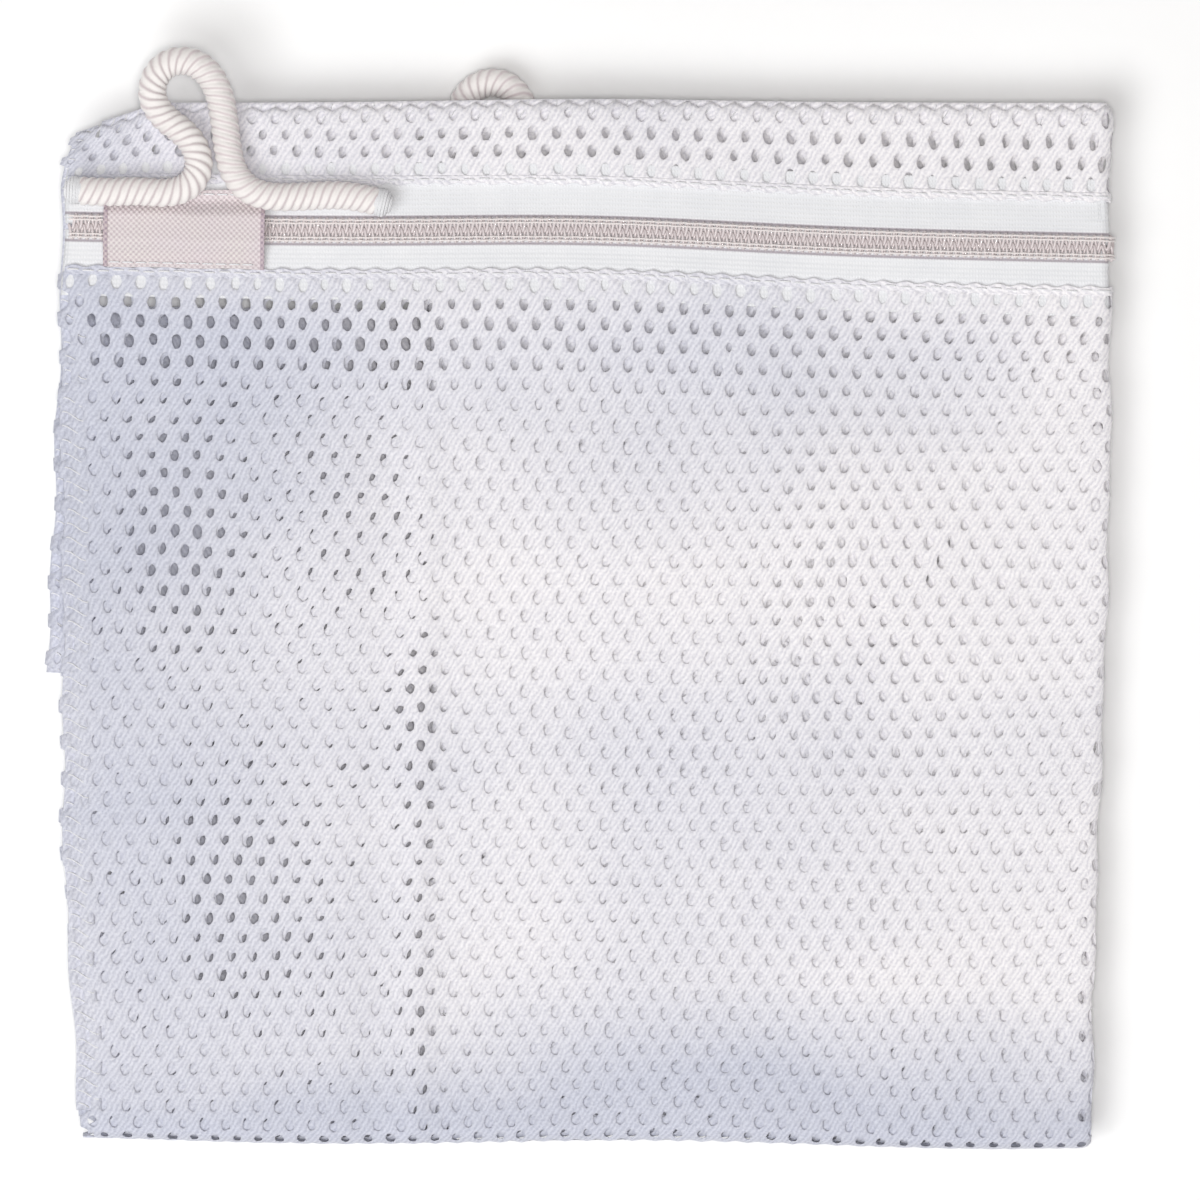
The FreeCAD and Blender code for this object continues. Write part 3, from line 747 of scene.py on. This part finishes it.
def cord_line(route, height):
    """Points of a smooth line, in millimetres, read from a curve whose control points are the route."""
    data = bpy.data.curves.new("route", "CURVE")
    data.dimensions = "3D"
    spline = data.splines.new("NURBS")
    spline.points.add(len(route) - 1)
    for point, (x, y, z) in zip(spline.points, route):
        point.co = (x * MM, y * MM, (height + z) * MM, 1)
    spline.order_u = 3
    spline.use_endpoint_u = True
    spline.resolution_u = 40
    holder = add_to_scene("route", data)
    bpy.context.view_layer.update()
    line = bpy.data.meshes.new_from_object(holder.evaluated_get(bpy.context.evaluated_depsgraph_get()))
    points = np.array([vertex.co for vertex in line.vertices]) / MM
    for thing, store in ((holder, bpy.data.objects), (line, bpy.data.meshes), (data, bpy.data.curves)):
        store.remove(thing)
    return points


def spaced(points, step):
    """The same line with points an even step apart, and its length."""
    lengths = np.concatenate([[0], np.cumsum(np.linalg.norm(np.diff(points, axis=0), axis=1))])
    at = np.linspace(0, lengths[-1], max(2, int(round(lengths[-1] / step))) + 1)
    return join(*(np.interp(at, lengths, values) for values in points.T)), lengths[-1]


def rounded_ends(count, radius, taper):
    """Radii along a thread whose two ends close in a dome."""
    place = np.minimum(np.arange(count), np.arange(count)[::-1]) / taper
    return radius * np.sqrt(np.clip(1 - (1 - np.clip(place, 0, 1)) ** 2, 0.02, 1))


def ribs(length, angle):
    """Cross section of a wound cord: fat turns that lean a little."""
    phase = 2 * math.pi * length / RIB_PITCH + RIB_STARTS * angle
    return 1 - RIB_DEPTH / (CORD / 2) * (1 - np.abs(np.cos(phase / 2)) ** 0.7)


def hanging_loop(which, route, height):
    """A loop of wound cord. Returns the points of its middle line."""
    fine, _ = spaced(cord_line(route, height), FINE_STEP)
    piece = threads(f"wound_cord_{which}", [fine], UP, rounded_ends(len(fine), CORD / 2 + 0.08, 9),
                    wound_cord, stands_for=(f"hanging_loop_{which}",), sides=32, around=ribs)
    return fine


def bartacks(which, line, bottom=0):
    """Dense arches of thread over both ends of a loop, which hold it on the cloth at the bottom."""
    arches, references = [], []
    angle = np.linspace(-0.5, math.pi + 0.5, 15)[:, None]
    for end, inner in ((line[0], line[12]), (line[-1], line[-13])):
        along = (end - inner) * (1, 1, 0)
        along /= np.linalg.norm(along)
        beside = np.array([-along[1], along[0], 0])
        for turn in range(TACK_TURNS):
            shift = TACK_PITCH * turn - 0.9 + 0.05 * math.sin(3 * turn)
            # the arches are a little lower at both ends, and the last ones close over the cord's end
            reach = CORD / 2 * (0.98 - 0.02 * abs(turn - 4)) - 0.25 * max(0, turn - 6)
            arches.append(end + along * shift + reach * (np.cos(angle) * beside + np.sin(angle) * UP))
            references.append([along])
    arches = np.array(arches)
    if bottom:
        arches[..., Z] = np.maximum(arches[..., Z], bottom + 0.15)
    threads(f"{which}_loop_tack_thread", arches, references, SEWING_THREAD, white_thread,
            stands_for=(f"{which}_loop_bartacks",))


front_line = hanging_loop("front", FRONT_ROUTE, FRONT_CORD_Z)
rear_line = hanging_loop("rear", REAR_ROUTE, REAR_CORD_Z)
bartacks("front", front_line, low("front_loop_bartacks", Z))
bartacks("rear", rear_line)

# --- panels of net
ROWS_PAST = 8.0             # cloth of the middle section that goes with each fold's piece
TURNED_EDGE = 1.0           # from the net's turned edge beside the zipper to its first row of cells
FIRST_ROW = 0.4             # least distance of a row's middle from the top edge, in pitches
HEM_ROW = 0.8               # from the bottom hem to the last row


def blend_by(piece, share):
    """Bake a piece's place into its mesh, and leave its points where they are.

    On the way, it works out another share from the share of its fold that each point has gone round, and
    gives it to the points for a moment only.
    """
    shaped = np.empty(len(share) * 3, np.float32)
    piece.data.vertices.foreach_get("co", shaped)
    even = 0.5 - np.sin(np.arcsin(1 - 2 * share) / 3)
    piece.data.vertices.foreach_set("co", join(even, 0, 0).astype(np.float32).ravel())
    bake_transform(piece)
    piece.data.vertices.foreach_set("co", shaped)
    piece.data.update()


def declare(piece, width, length):
    """Work out a piece of net's cut size and its area without the holes, in metres, and keep neither."""
    hole_share = 1 - math.pi * HOLE_U * HOLE_V / (PITCH_U * PITCH_V)
    width * MM
    length * MM
    hole_share * width * length * MM * MM


def panel_net(pieces, panel, seed, shift, below_zip):
    """The net of one panel, in three pieces: each crosses, or lies between, the bag's two folds.

    pieces gives their names, and the CAD nodes that each of them replaces. below_zip says that the
    panel starts at the zipper.
    """
    width = across(panel)
    start = V_OUTER + fold_length(panel, 0)
    inner = start + INNER_FOLD - OUTER_FOLD
    stop = inner + fold_length(panel, 1) + HEM_LENGTH
    zip_edge = TOP - ZIP_Y + LOW_EDGE_OF_ZIP
    zip_row = zip_edge + TURNED_EDGE + PITCH_V / 2
    origin = (0.55 * PITCH_U, zip_row % PITCH_V)
    fold_drop = (width - WIDE) * math.tan(SKEW)
    rows = [0, *(int((v - origin[1]) / PITCH_V)
                 for v in (start + ROWS_PAST, inner - fold_drop - ROWS_PAST, stop - HEM_ROW))]
    least_v = zip_row - PITCH_V / 2 if below_zip else FIRST_ROW * PITCH_V
    (upper, upper_flat), (middle, _), (lower, lower_flat) = (
        net(name, panel, seed, shift, rows[at:at + 2], origin, least_v, between)
        for at, (name, between) in enumerate(zip(pieces, (1, 0, 0))))
    round_outer = np.clip((upper_flat[:, 1] - V_OUTER) / fold_length(panel, 0), 0, 1)
    blend_by(upper, 1 - round_outer)
    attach(middle, "middle_section")
    *_, past_inner = past_folds(panel, *lower_flat.T)
    round_inner = np.clip(past_inner / fold_length(panel, 1), 0, 1)
    blend_by(lower, 1 - round_inner)
    cuts = [zip_edge if below_zip else 0, *(origin[1] + (row - 0.5) * PITCH_V for row in rows[1:3]), stop]
    beneath = ("middle_front_panel", "end_front_panel", "floor")
    for piece, length, under, nodes in zip((upper, middle, lower), np.diff(cuts), beneath, pieces.values()):
        declare(piece, width, length)
        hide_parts(*nodes)


def top_strip():
    """The narrow piece of the front panel between the zipper and the top edge."""
    last_row = TOP - ZIP_Y - TOP_EDGE_OF_ZIP - TURNED_EDGE - PITCH_V / 2
    origin = (0.2 * PITCH_U, last_row % PITCH_V)
    rows = (0, int((last_row - origin[1]) / PITCH_V + 0.5) + 1)
    piece, _ = net("top_strip_net", FRONT, 3.0, 0.0, rows, origin, FIRST_ROW * PITCH_V, 1)
    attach(piece, "front_section")
    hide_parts("top_strip")
    declare(piece, across(FRONT), TOP - ZIP_Y - TOP_EDGE_OF_ZIP)


panel_net({"front_panel_net": ("front_panel", "outer_fold"), "middle_front_net": ("middle_front_panel",),
           "end_front_net": ("end_front_panel", "inner_fold")}, FRONT, 1.0, 0.0, True)
panel_net({"back_panel_net": ("back_panel",), "middle_back_net": ("middle_back_panel",),
           "end_back_net": ("end_back_panel",)}, BACK, 2.0, 1.0, False)
top_strip()

# --- seams between the panels
SEAM_WIDE = 5.0
SEAM_THICK = 0.35
SEAM_INSET = 0.4            # from the bag's edge to a seam's strip
SEAM_STEP = 1.6             # from point to point along a seam's strip
WHIP_PITCH = 2.4            # from turn to turn of the thread that is looped over it
WHIP_THREAD = 0.12


def overlock(name, place, width, start, stop, body, node_name):
    """A seam: the panels' turned-in edges as a dense strip, whipped over with looping thread.

    place(distance, along) is the surface, with the distance from the bag's edge.
    """
    near, far = SEAM_INSET, SEAM_INSET + width
    lengthways = np.arange(start, stop, SEAM_STEP)
    slab(name, lambda d, s: settle(place(d, s)), np.linspace(near, far, 7), lengthways, SEAM_THICK,
         mesh_cloth, lambda d, s: 0.06 * np.sin(d * 5.1) * np.sin(s * 3.7), body, (node_name,))
    first, last = lengthways[0] + 0.5, lengthways[-1] - 0.5
    turns = int((last - first) / WHIP_PITCH)
    t = np.linspace(0, turns * 2 * math.pi, turns * 12 + 1)
    s = first + (last - first) * t / t[-1] + 0.5 * np.sin(2 * t)
    d = (near + far) / 2 + ((far - near) / 2 - 0.2) * np.sin(t)
    out = normals_of(place, d, s)
    rise = (SEAM_THICK / 2 + WHIP_THREAD) * np.sign(np.cos(t)) * np.abs(np.cos(t)) ** 0.3
    threads(name + "_thread", [settle(place(d, s) + out * rise[:, None])], out + (0.013, 0.007, 0.011),
            WHIP_THREAD, white_thread, body, sides=5)


def seams():
    """Side seams of every section, the top edge's and the bottom hem's."""
    width = across(SEAM)
    start = V_OUTER + fold_length(SEAM, 0)
    stop = start + INNER_FOLD - OUTER_FOLD
    below = stop + fold_length(SEAM, 1)
    hem = below + HEM_LENGTH
    stretches = (("front", 1.0, V_OUTER - 0.5, 0), ("middle", start + 0.5, stop - 0.5, 2.5),
                 ("end", below + 1.5, hem - 0.8, 2.5))
    for section, begin, end, shorter in stretches:      # shorter at the right, where the fold is lower
        for side, last in (("left", end), ("right", end - shorter)):
            overlock(f"{section}_{side}_overlock",
                     lambda d, s: folded(SEAM, d if side == "left" else width - d, s),
                     SEAM_WIDE - 0.6, begin, last, f"{section}_section", f"{section}_{side}_seam")
    ends = (SEAM_WIDE - 0.8, SEAM_WIDE + 0.5, width - SEAM_WIDE - 0.5)
    overlock("top_edge_overlock", lambda d, s: folded(SEAM, s, d), *ends, "front_section",
             "top_edge_seam")
    overlock("bottom_hem_overlock", lambda d, s: folded(SEAM, s, hem - d), *ends, "end_section",
             "bottom_hem")


seams()

# --- zipper
TAPE_UP = high("zipper_tape_upper", Z) - 0.15
TAPE_DOWN = low("zipper_tape_upper", Z) + 0.15
CHAIN_LEFT = low("zipper_tape_upper", X) + 0.2
CHAIN_TUCK = TUCK + 0.6
TAPE_NEAR, TAPE_HALF = 0.5, 12.0            # a tape's two edges, from the chain's middle
TAPE_THICK = 0.28
ZIP_RADIUS = (TAPE_UP - TAPE_DOWN) / 2
ZIP_TURN = math.pi * ZIP_RADIUS
ZIP_STRAIGHT = FOLD - CHAIN_LEFT
ZIP_LONG = ZIP_STRAIGHT + ZIP_TURN + FOLD - CHAIN_TUCK
COIL_PITCH = 1.27
COIL_THREAD = 0.28
COIL_MIDDLE, COIL_REACH = 0.86, 1.22        # a coil's own middle, and how far it reaches to each side
ZIP_LIFT = 0.65                             # height of the coil's middle over the tape's
NET_LIFT = 0.55                             # height of the net's middle over the tape's
EDGE_THICK = 0.42                           # of the net's edge, turned under
LOCK_LONG, LOCK_GAP = 2.1, 0.5              # a lockstitch, and the gap to the next one


def on_zip(x, y, z):
    """From the zipper's own line, at height z, to the bag."""
    return join(x * math.cos(TILT) + y * math.sin(TILT),
                ZIP_Y - x * math.sin(TILT) + y * math.cos(TILT), z)


def along_zip(s, t, lift=0.0):
    """Places at distance s along the tape, t across it and lift off it, round its turn at the right."""
    theta, x = round_turn(s, CHAIN_LEFT, ZIP_STRAIGHT, ZIP_TURN)
    x = x - t * math.sin(TILT) * (s >= ZIP_STRAIGHT) + (ZIP_RADIUS + lift) * np.sin(theta)
    return on_zip(x, t, (TAPE_UP + TAPE_DOWN) / 2 + (ZIP_RADIUS + lift) * np.cos(theta))


def zip_outward(s):
    """The direction off the tape, at distance s along it."""
    theta, _ = round_turn(s, CHAIN_LEFT, ZIP_STRAIGHT, ZIP_TURN)
    return join(np.sin(theta), 0, np.cos(theta))


def tape(half, side):
    """One of the two woven tapes that carry the halves of the chain."""
    def selvedge(t, s):
        """Thicker woven edges, and shallow ribs along the tape."""
        from_chain = np.abs(t)
        edge = hump(from_chain, 2.9, 0.35) + hump(from_chain, TAPE_HALF - 0.5, 0.4)
        return 0.09 * edge + 0.02 * np.sin(from_chain * 2 * math.pi / 0.8)

    bent = ZIP_STRAIGHT + ZIP_TURN
    long = np.concatenate([np.arange(0, ZIP_STRAIGHT, 1.5), np.linspace(ZIP_STRAIGHT, bent, 11),
                           np.arange(bent + 1.5, ZIP_LONG, 1.5)])
    wide = side * np.arange(TAPE_NEAR, TAPE_HALF, 0.16)
    piece = slab(f"woven_zipper_tape_{half}", lambda t, s: settle(along_zip(s, t)), wide[::side], long,
                 TAPE_THICK, woven_tape, selvedge, stands_for=(f"zipper_tape_{half}",))
    ZIP_LONG * MM


def coil(half, side):
    """One half of the chain: a spiral of monofilament, whose heads reach past the chain's middle."""
    turns = int(ZIP_LONG / COIL_PITCH) - 1
    t = np.linspace(0, turns * 2 * math.pi, turns * 12 + 1)
    s = 0.6 + COIL_PITCH * (t / (2 * math.pi) + (0.5 if side > 0 else 0))
    line = settle(along_zip(s, side * (COIL_MIDDLE - COIL_REACH * np.cos(t)), ZIP_LIFT + 0.22 * np.sin(t)))
    axis = settle(along_zip(s, side * COIL_MIDDLE, ZIP_LIFT))
    threads(f"nylon_zipper_coil_{half}", [line], [line - axis], COIL_THREAD, nylon_coil,
            stands_for=(f"zipper_coil_{half}",))


def coil_stitching(half, side):
    """Two lines of sewing thread over the coil's legs, which hold it on the tape."""
    t = np.arange(0.6, ZIP_LONG - 0.6, COIL_PITCH / 6)
    lift = ZIP_LIFT + 0.47 + 0.05 * np.cos(2 * math.pi * t / COIL_PITCH)
    lines = [settle(along_zip(t, side * (spread + 0.03 * np.sin(t * 2.2)), lift)) for spread in (1.22, 1.80)]
    threads(f"coil_stitching_{half}", lines, zip_outward(t), SEWING_THREAD, coil_thread)


def turned_edge(half, side, edge):
    """The net's edge beside the zipper, turned under: a dense, softly scalloped strip."""
    def place(t, s):
        scallop = 0.22 * np.cos(2 * math.pi * s / PITCH_U) * smooth(-np.abs(t), -edge - 1.0, -edge)
        return settle(along_zip(s, t + side * scallop, NET_LIFT))

    wide = side * np.linspace(edge, edge + TURNED_EDGE + 0.5, 9)[::side]
    slab(f"turned_edge_{half}", place, wide, np.arange(0.4, ZIP_LONG, 0.45), EDGE_THICK, mesh_cloth,
         lambda t, s: 0.05 * np.sin(t * 4.9 + 0.8 * np.sin(s * 1.1)) * np.sin(s * 3.7))


def stitch_row(starts, long):
    """Places along each stitch of a row, and how far it has sunk into the cloth there: 1 at its ends."""
    steps = np.linspace(0, 1, 7)
    return starts[:, None] + steps * long, np.abs(2 * steps - 1) ** 4


def straight_stitches(half, side, edge):
    """A line of lockstitch along the edge of the net, through it and the tape."""
    starts = np.arange(0.8, ZIP_LONG - LOCK_LONG, LOCK_LONG + LOCK_GAP)
    s, sunk = stitch_row(starts, LOCK_LONG)
    wobble = 0.12 * np.sin(starts * 1.7)[:, None]
    lines = settle(along_zip(s, side * (edge + 0.75) + wobble, 0.97 - 0.5 * sunk))
    threads(f"lock_stitching_{half}", lines, zip_outward(s), SEWING_THREAD, white_thread,
            stands_for=(f"seam_stitching_{half}",))


for half, side in (("upper", 1), ("lower", -1)):
    tape(half, side)
    coil(half, side)
    coil_stitching(half, side)
for sew in (turned_edge, straight_stitches):
    sew("upper", 1, TOP_EDGE_OF_ZIP)
    sew("lower", -1, LOW_EDGE_OF_ZIP)

# --- elastic garage
GARAGE_LEFT, GARAGE_RIGHT = low("garage_stitching", X) - 0.8, high("garage_stitching", X) + 0.8
GARAGE_HALF = 6.8
GARAGE_THICK = 0.4
HEM_THICK = 0.25
FLAP_Z = low("slider_garage", Z) + 0.3
ROOF_Z = high("slider_garage", Z) - 0.3
TACK_LONG, TACK_STEP = 1.8, 2.3             # a stitch of the garage, and from each to the next
TACK_THREAD = 0.15


def garage_place(t, s):
    """The sleeve's surface: flaps on the tapes and a roof over the slider, sagging a little."""
    height = FLAP_Z + (ROOF_Z - FLAP_Z) * smooth(-np.abs(t), -5.2, -1.9)
    sag = 0.12 * np.sin((s - GARAGE_LEFT) * 0.24) * np.cos(t * 0.3)
    return on_zip(s, t + 0.08 * np.sin(s * 0.5), height + sag)


def basket(t, s):
    """Relief of a basket weave: small pillows that lie along and across by turns."""
    return 0.07 * np.sin(t * math.pi / WEAVE) * np.sin(s * math.pi / WEAVE)


def garage():
    """A sleeve of elastic over the slider's parking place, hemmed at both ends."""
    wide = np.arange(-GARAGE_HALF, GARAGE_HALF + 0.01, WEAVE / 4)[::-1]
    slab("garage_sleeve", garage_place, wide, np.arange(GARAGE_LEFT, GARAGE_RIGHT, WEAVE / 4)[::-1],
         GARAGE_THICK, elastic, basket, stands_for=("slider_garage",))
    # the hems, in the darker copy of the elastic: painted shade under the sleeve's ends
    for end, start, stop in (("left", GARAGE_LEFT - 0.15, GARAGE_LEFT + 0.6),
                             ("right", GARAGE_RIGHT - 0.5, GARAGE_RIGHT + 0.2)):
        def over(t, s):
            return garage_place(t, s) + 0.3 * UP * (np.abs(s - (start + stop) / 2) < 0.8)[:, None]
        slab(f"garage_hem_{end}", over, wide, np.linspace(start, stop, 8)[::-1], HEM_THICK,
             shaded_elastic_edge, lambda t, s: 0.05 * np.sin(t * 7.3))


def garage_stitches():
    """A row of stitches along both flaps."""
    s, sunk = stitch_row(np.arange(GARAGE_LEFT + 0.9, GARAGE_RIGHT - 2.4, TACK_STEP), TACK_LONG)
    lines = np.concatenate([on_zip(s, side * (GARAGE_HALF - 0.8), FLAP_Z + 0.42 - 0.25 * sunk)
                            for side in (-1, 1)])
    threads("garage_thread", lines, UP, TACK_THREAD, white_thread, stands_for=("garage_stitching",))


garage()
garage_stitches()

# --- slider and pull tab
PLATE = 0.4                                 # thickness of the slider's two plates
PLATE_TOP = low("pull_tab", Z) - 0.1
FLANGE_GAP = 1.0                            # from its lower plate to the flanges over the tape
WIDE_END, NARROW_END = 3.1, 2.85
SLIDER_LONG = 8.6
POST_LONG = 2.4
FLANGE_HALF, FLANGE_SHORT = 0.25, 0.4       # half a flange's width, and how much shorter it is
CROWN_HALF, CROWN_WIDE = 2.2, 0.8           # the bridge: half its span, and half its width
CROWN_THICK = 0.65
TAB_LONG, TAB_HALF, TAB_ROOT_HALF = 13.6, 2.0, 1.75
WINDOW = (0.32, 2.7, 1.3)                   # the tab's window: its two ends, and half its width
RIBS, RIBS_START, RIBS_PITCH = 5, 7.6, 1.05     # for the fingers, across the tab's far end
CAST_EDGE = 0.13                            # radius of the castings' edges


def oblong(start, stop, half_start, half_stop, squareness=5):
    """A rounded oblong, whose half width changes from one end to the other."""
    angle = np.arange(48) / 48 * 2 * math.pi
    ahead, beside = (np.sign(part) * np.abs(part) ** (2 / squareness)
                     for part in (np.cos(angle), np.sin(angle)))
    share = (ahead + 1) / 2
    half = half_start + (half_stop - half_start) * share
    return join(start + (stop - start) * share, half * beside)


def rounded_wall(outline, bottom, top, hole=False):
    """Rings up the wall of a plate whose edges are rounded, or down the wall of a hole in it."""
    ahead = np.roll(outline, -1, axis=0) - np.roll(outline, 1, axis=0)
    inward = join(-ahead[:, 1], ahead[:, 0])
    inward /= np.linalg.norm(inward, axis=1, keepdims=True)
    turn = np.linspace(0, math.pi / 2, 4)
    insets, rises = CAST_EDGE * (1 - np.sin(turn)), CAST_EDGE * (1 - np.cos(turn))
    levels = [*zip(insets, bottom + rises), *zip(insets[::-1], top - rises[::-1])]
    rings = [join(*(outline + (-inset if hole else inset) * inward).T, level) for inset, level in levels]
    return rings[::-1] if hole else rings


def loft(rings, ring_shaped=False):
    """A skin over rings of points, closed with a flat face at each end, or back to the first ring."""
    index = np.arange(len(rings) * len(rings[0])).reshape(len(rings), -1)
    ends = [] if ring_shaped else [index[:1, ::-1], index[-1:]]
    if ring_shaped:
        index = np.vstack([index, index[:1]])
    turned = np.roll(index, -1, axis=1)
    return np.concatenate(rings), [quads_of(index[:-1], turned[:-1], turned[1:], index[1:]), *ends]


def plate(outline, bottom, top):
    return loft(rounded_wall(outline, bottom, top))


def casting(body, node_name, lofts):
    """One casting from several lofts, in the zipper's own directions from the slider's middle."""
    points, faces = [], []
    for part, groups in lofts:
        faces += [group + sum(len(other) for other in points) for group in groups]
        points.append(part)
    s, t, z = np.concatenate(points).T
    s = s + SLIDER[X] / math.cos(TILT)
    put(f"cast_{body}", on_zip(s, t, z), faces, join(s, t), enamel, body, (node_name,))


def cast_slider():
    """Two plates joined by a post, flanges that close round the chain, and a bridge for the tab."""
    start, stop = -SLIDER_LONG / 2, SLIDER_LONG / 2
    base = low("slider_body", Z)
    shield = oblong(start, stop, WIDE_END, NARROW_END)
    lofts = [plate(shield, base, base + PLATE),
             plate(shield, PLATE_TOP - PLATE, PLATE_TOP)]
    for side in (-1, 1):
        flange = oblong(start + FLANGE_SHORT, stop - FLANGE_SHORT, FLANGE_HALF, FLANGE_HALF)
        share = (flange[:, 0] - start) / SLIDER_LONG
        flange[:, 1] += side * (WIDE_END - 0.27 + (NARROW_END - WIDE_END) * share)
        lofts.append(plate(flange, base + FLANGE_GAP, PLATE_TOP - PLATE / 2))
    post = oblong(start, start + POST_LONG, 0.5, 0.16, 2.5)
    lofts.append(plate(post, base + PLATE / 2, PLATE_TOP - PLATE / 2))
    # the bridge is an arch along the slider, lofted from one of its sides to the other
    angle = np.linspace(0, math.pi, 25)
    round_arch = join(np.cos(angle), np.sin(angle) ** 0.6)
    rise = high("slider_body", Z) - PLATE_TOP
    outer = round_arch * (CROWN_HALF, rise + 0.1)
    inner = round_arch[::-1] * (CROWN_HALF - CROWN_THICK, rise - 0.3)
    arch = np.concatenate([outer, inner]) + (0, PLATE_TOP - 0.1)
    points, groups = plate(arch, -CROWN_WIDE, CROWN_WIDE)
    lofts.append((points[:, [0, 2, 1]], [group[:, ::-1] for group in groups]))
    casting("slider", "slider_body", lofts)


def cast_pull_tab():
    """A flat tab, a little waisted, with a window at its root and ribs for the fingers."""
    bottom, top = low("pull_tab", Z), high("pull_tab", Z)
    outer = oblong(-0.3, TAB_LONG, TAB_ROOT_HALF, TAB_HALF, 4)
    outer[:, 1] *= 1 - 0.14 * hump(outer[:, 0], 5.4, 2.2)
    near, far, half = WINDOW
    window = rounded_wall(oblong(near, far, half, half), bottom, top, hole=True)
    lofts = [loft(rounded_wall(outer, bottom, top) + window, True)]
    for at in RIBS_START + RIBS_PITCH * np.arange(RIBS):
        lofts.append(plate(oblong(at, at + 0.5, 1.25, 1.25), top - 0.2, top + 0.1))
    casting("pull_tab", "pull_tab", lofts)


cast_slider()
cast_pull_tab()
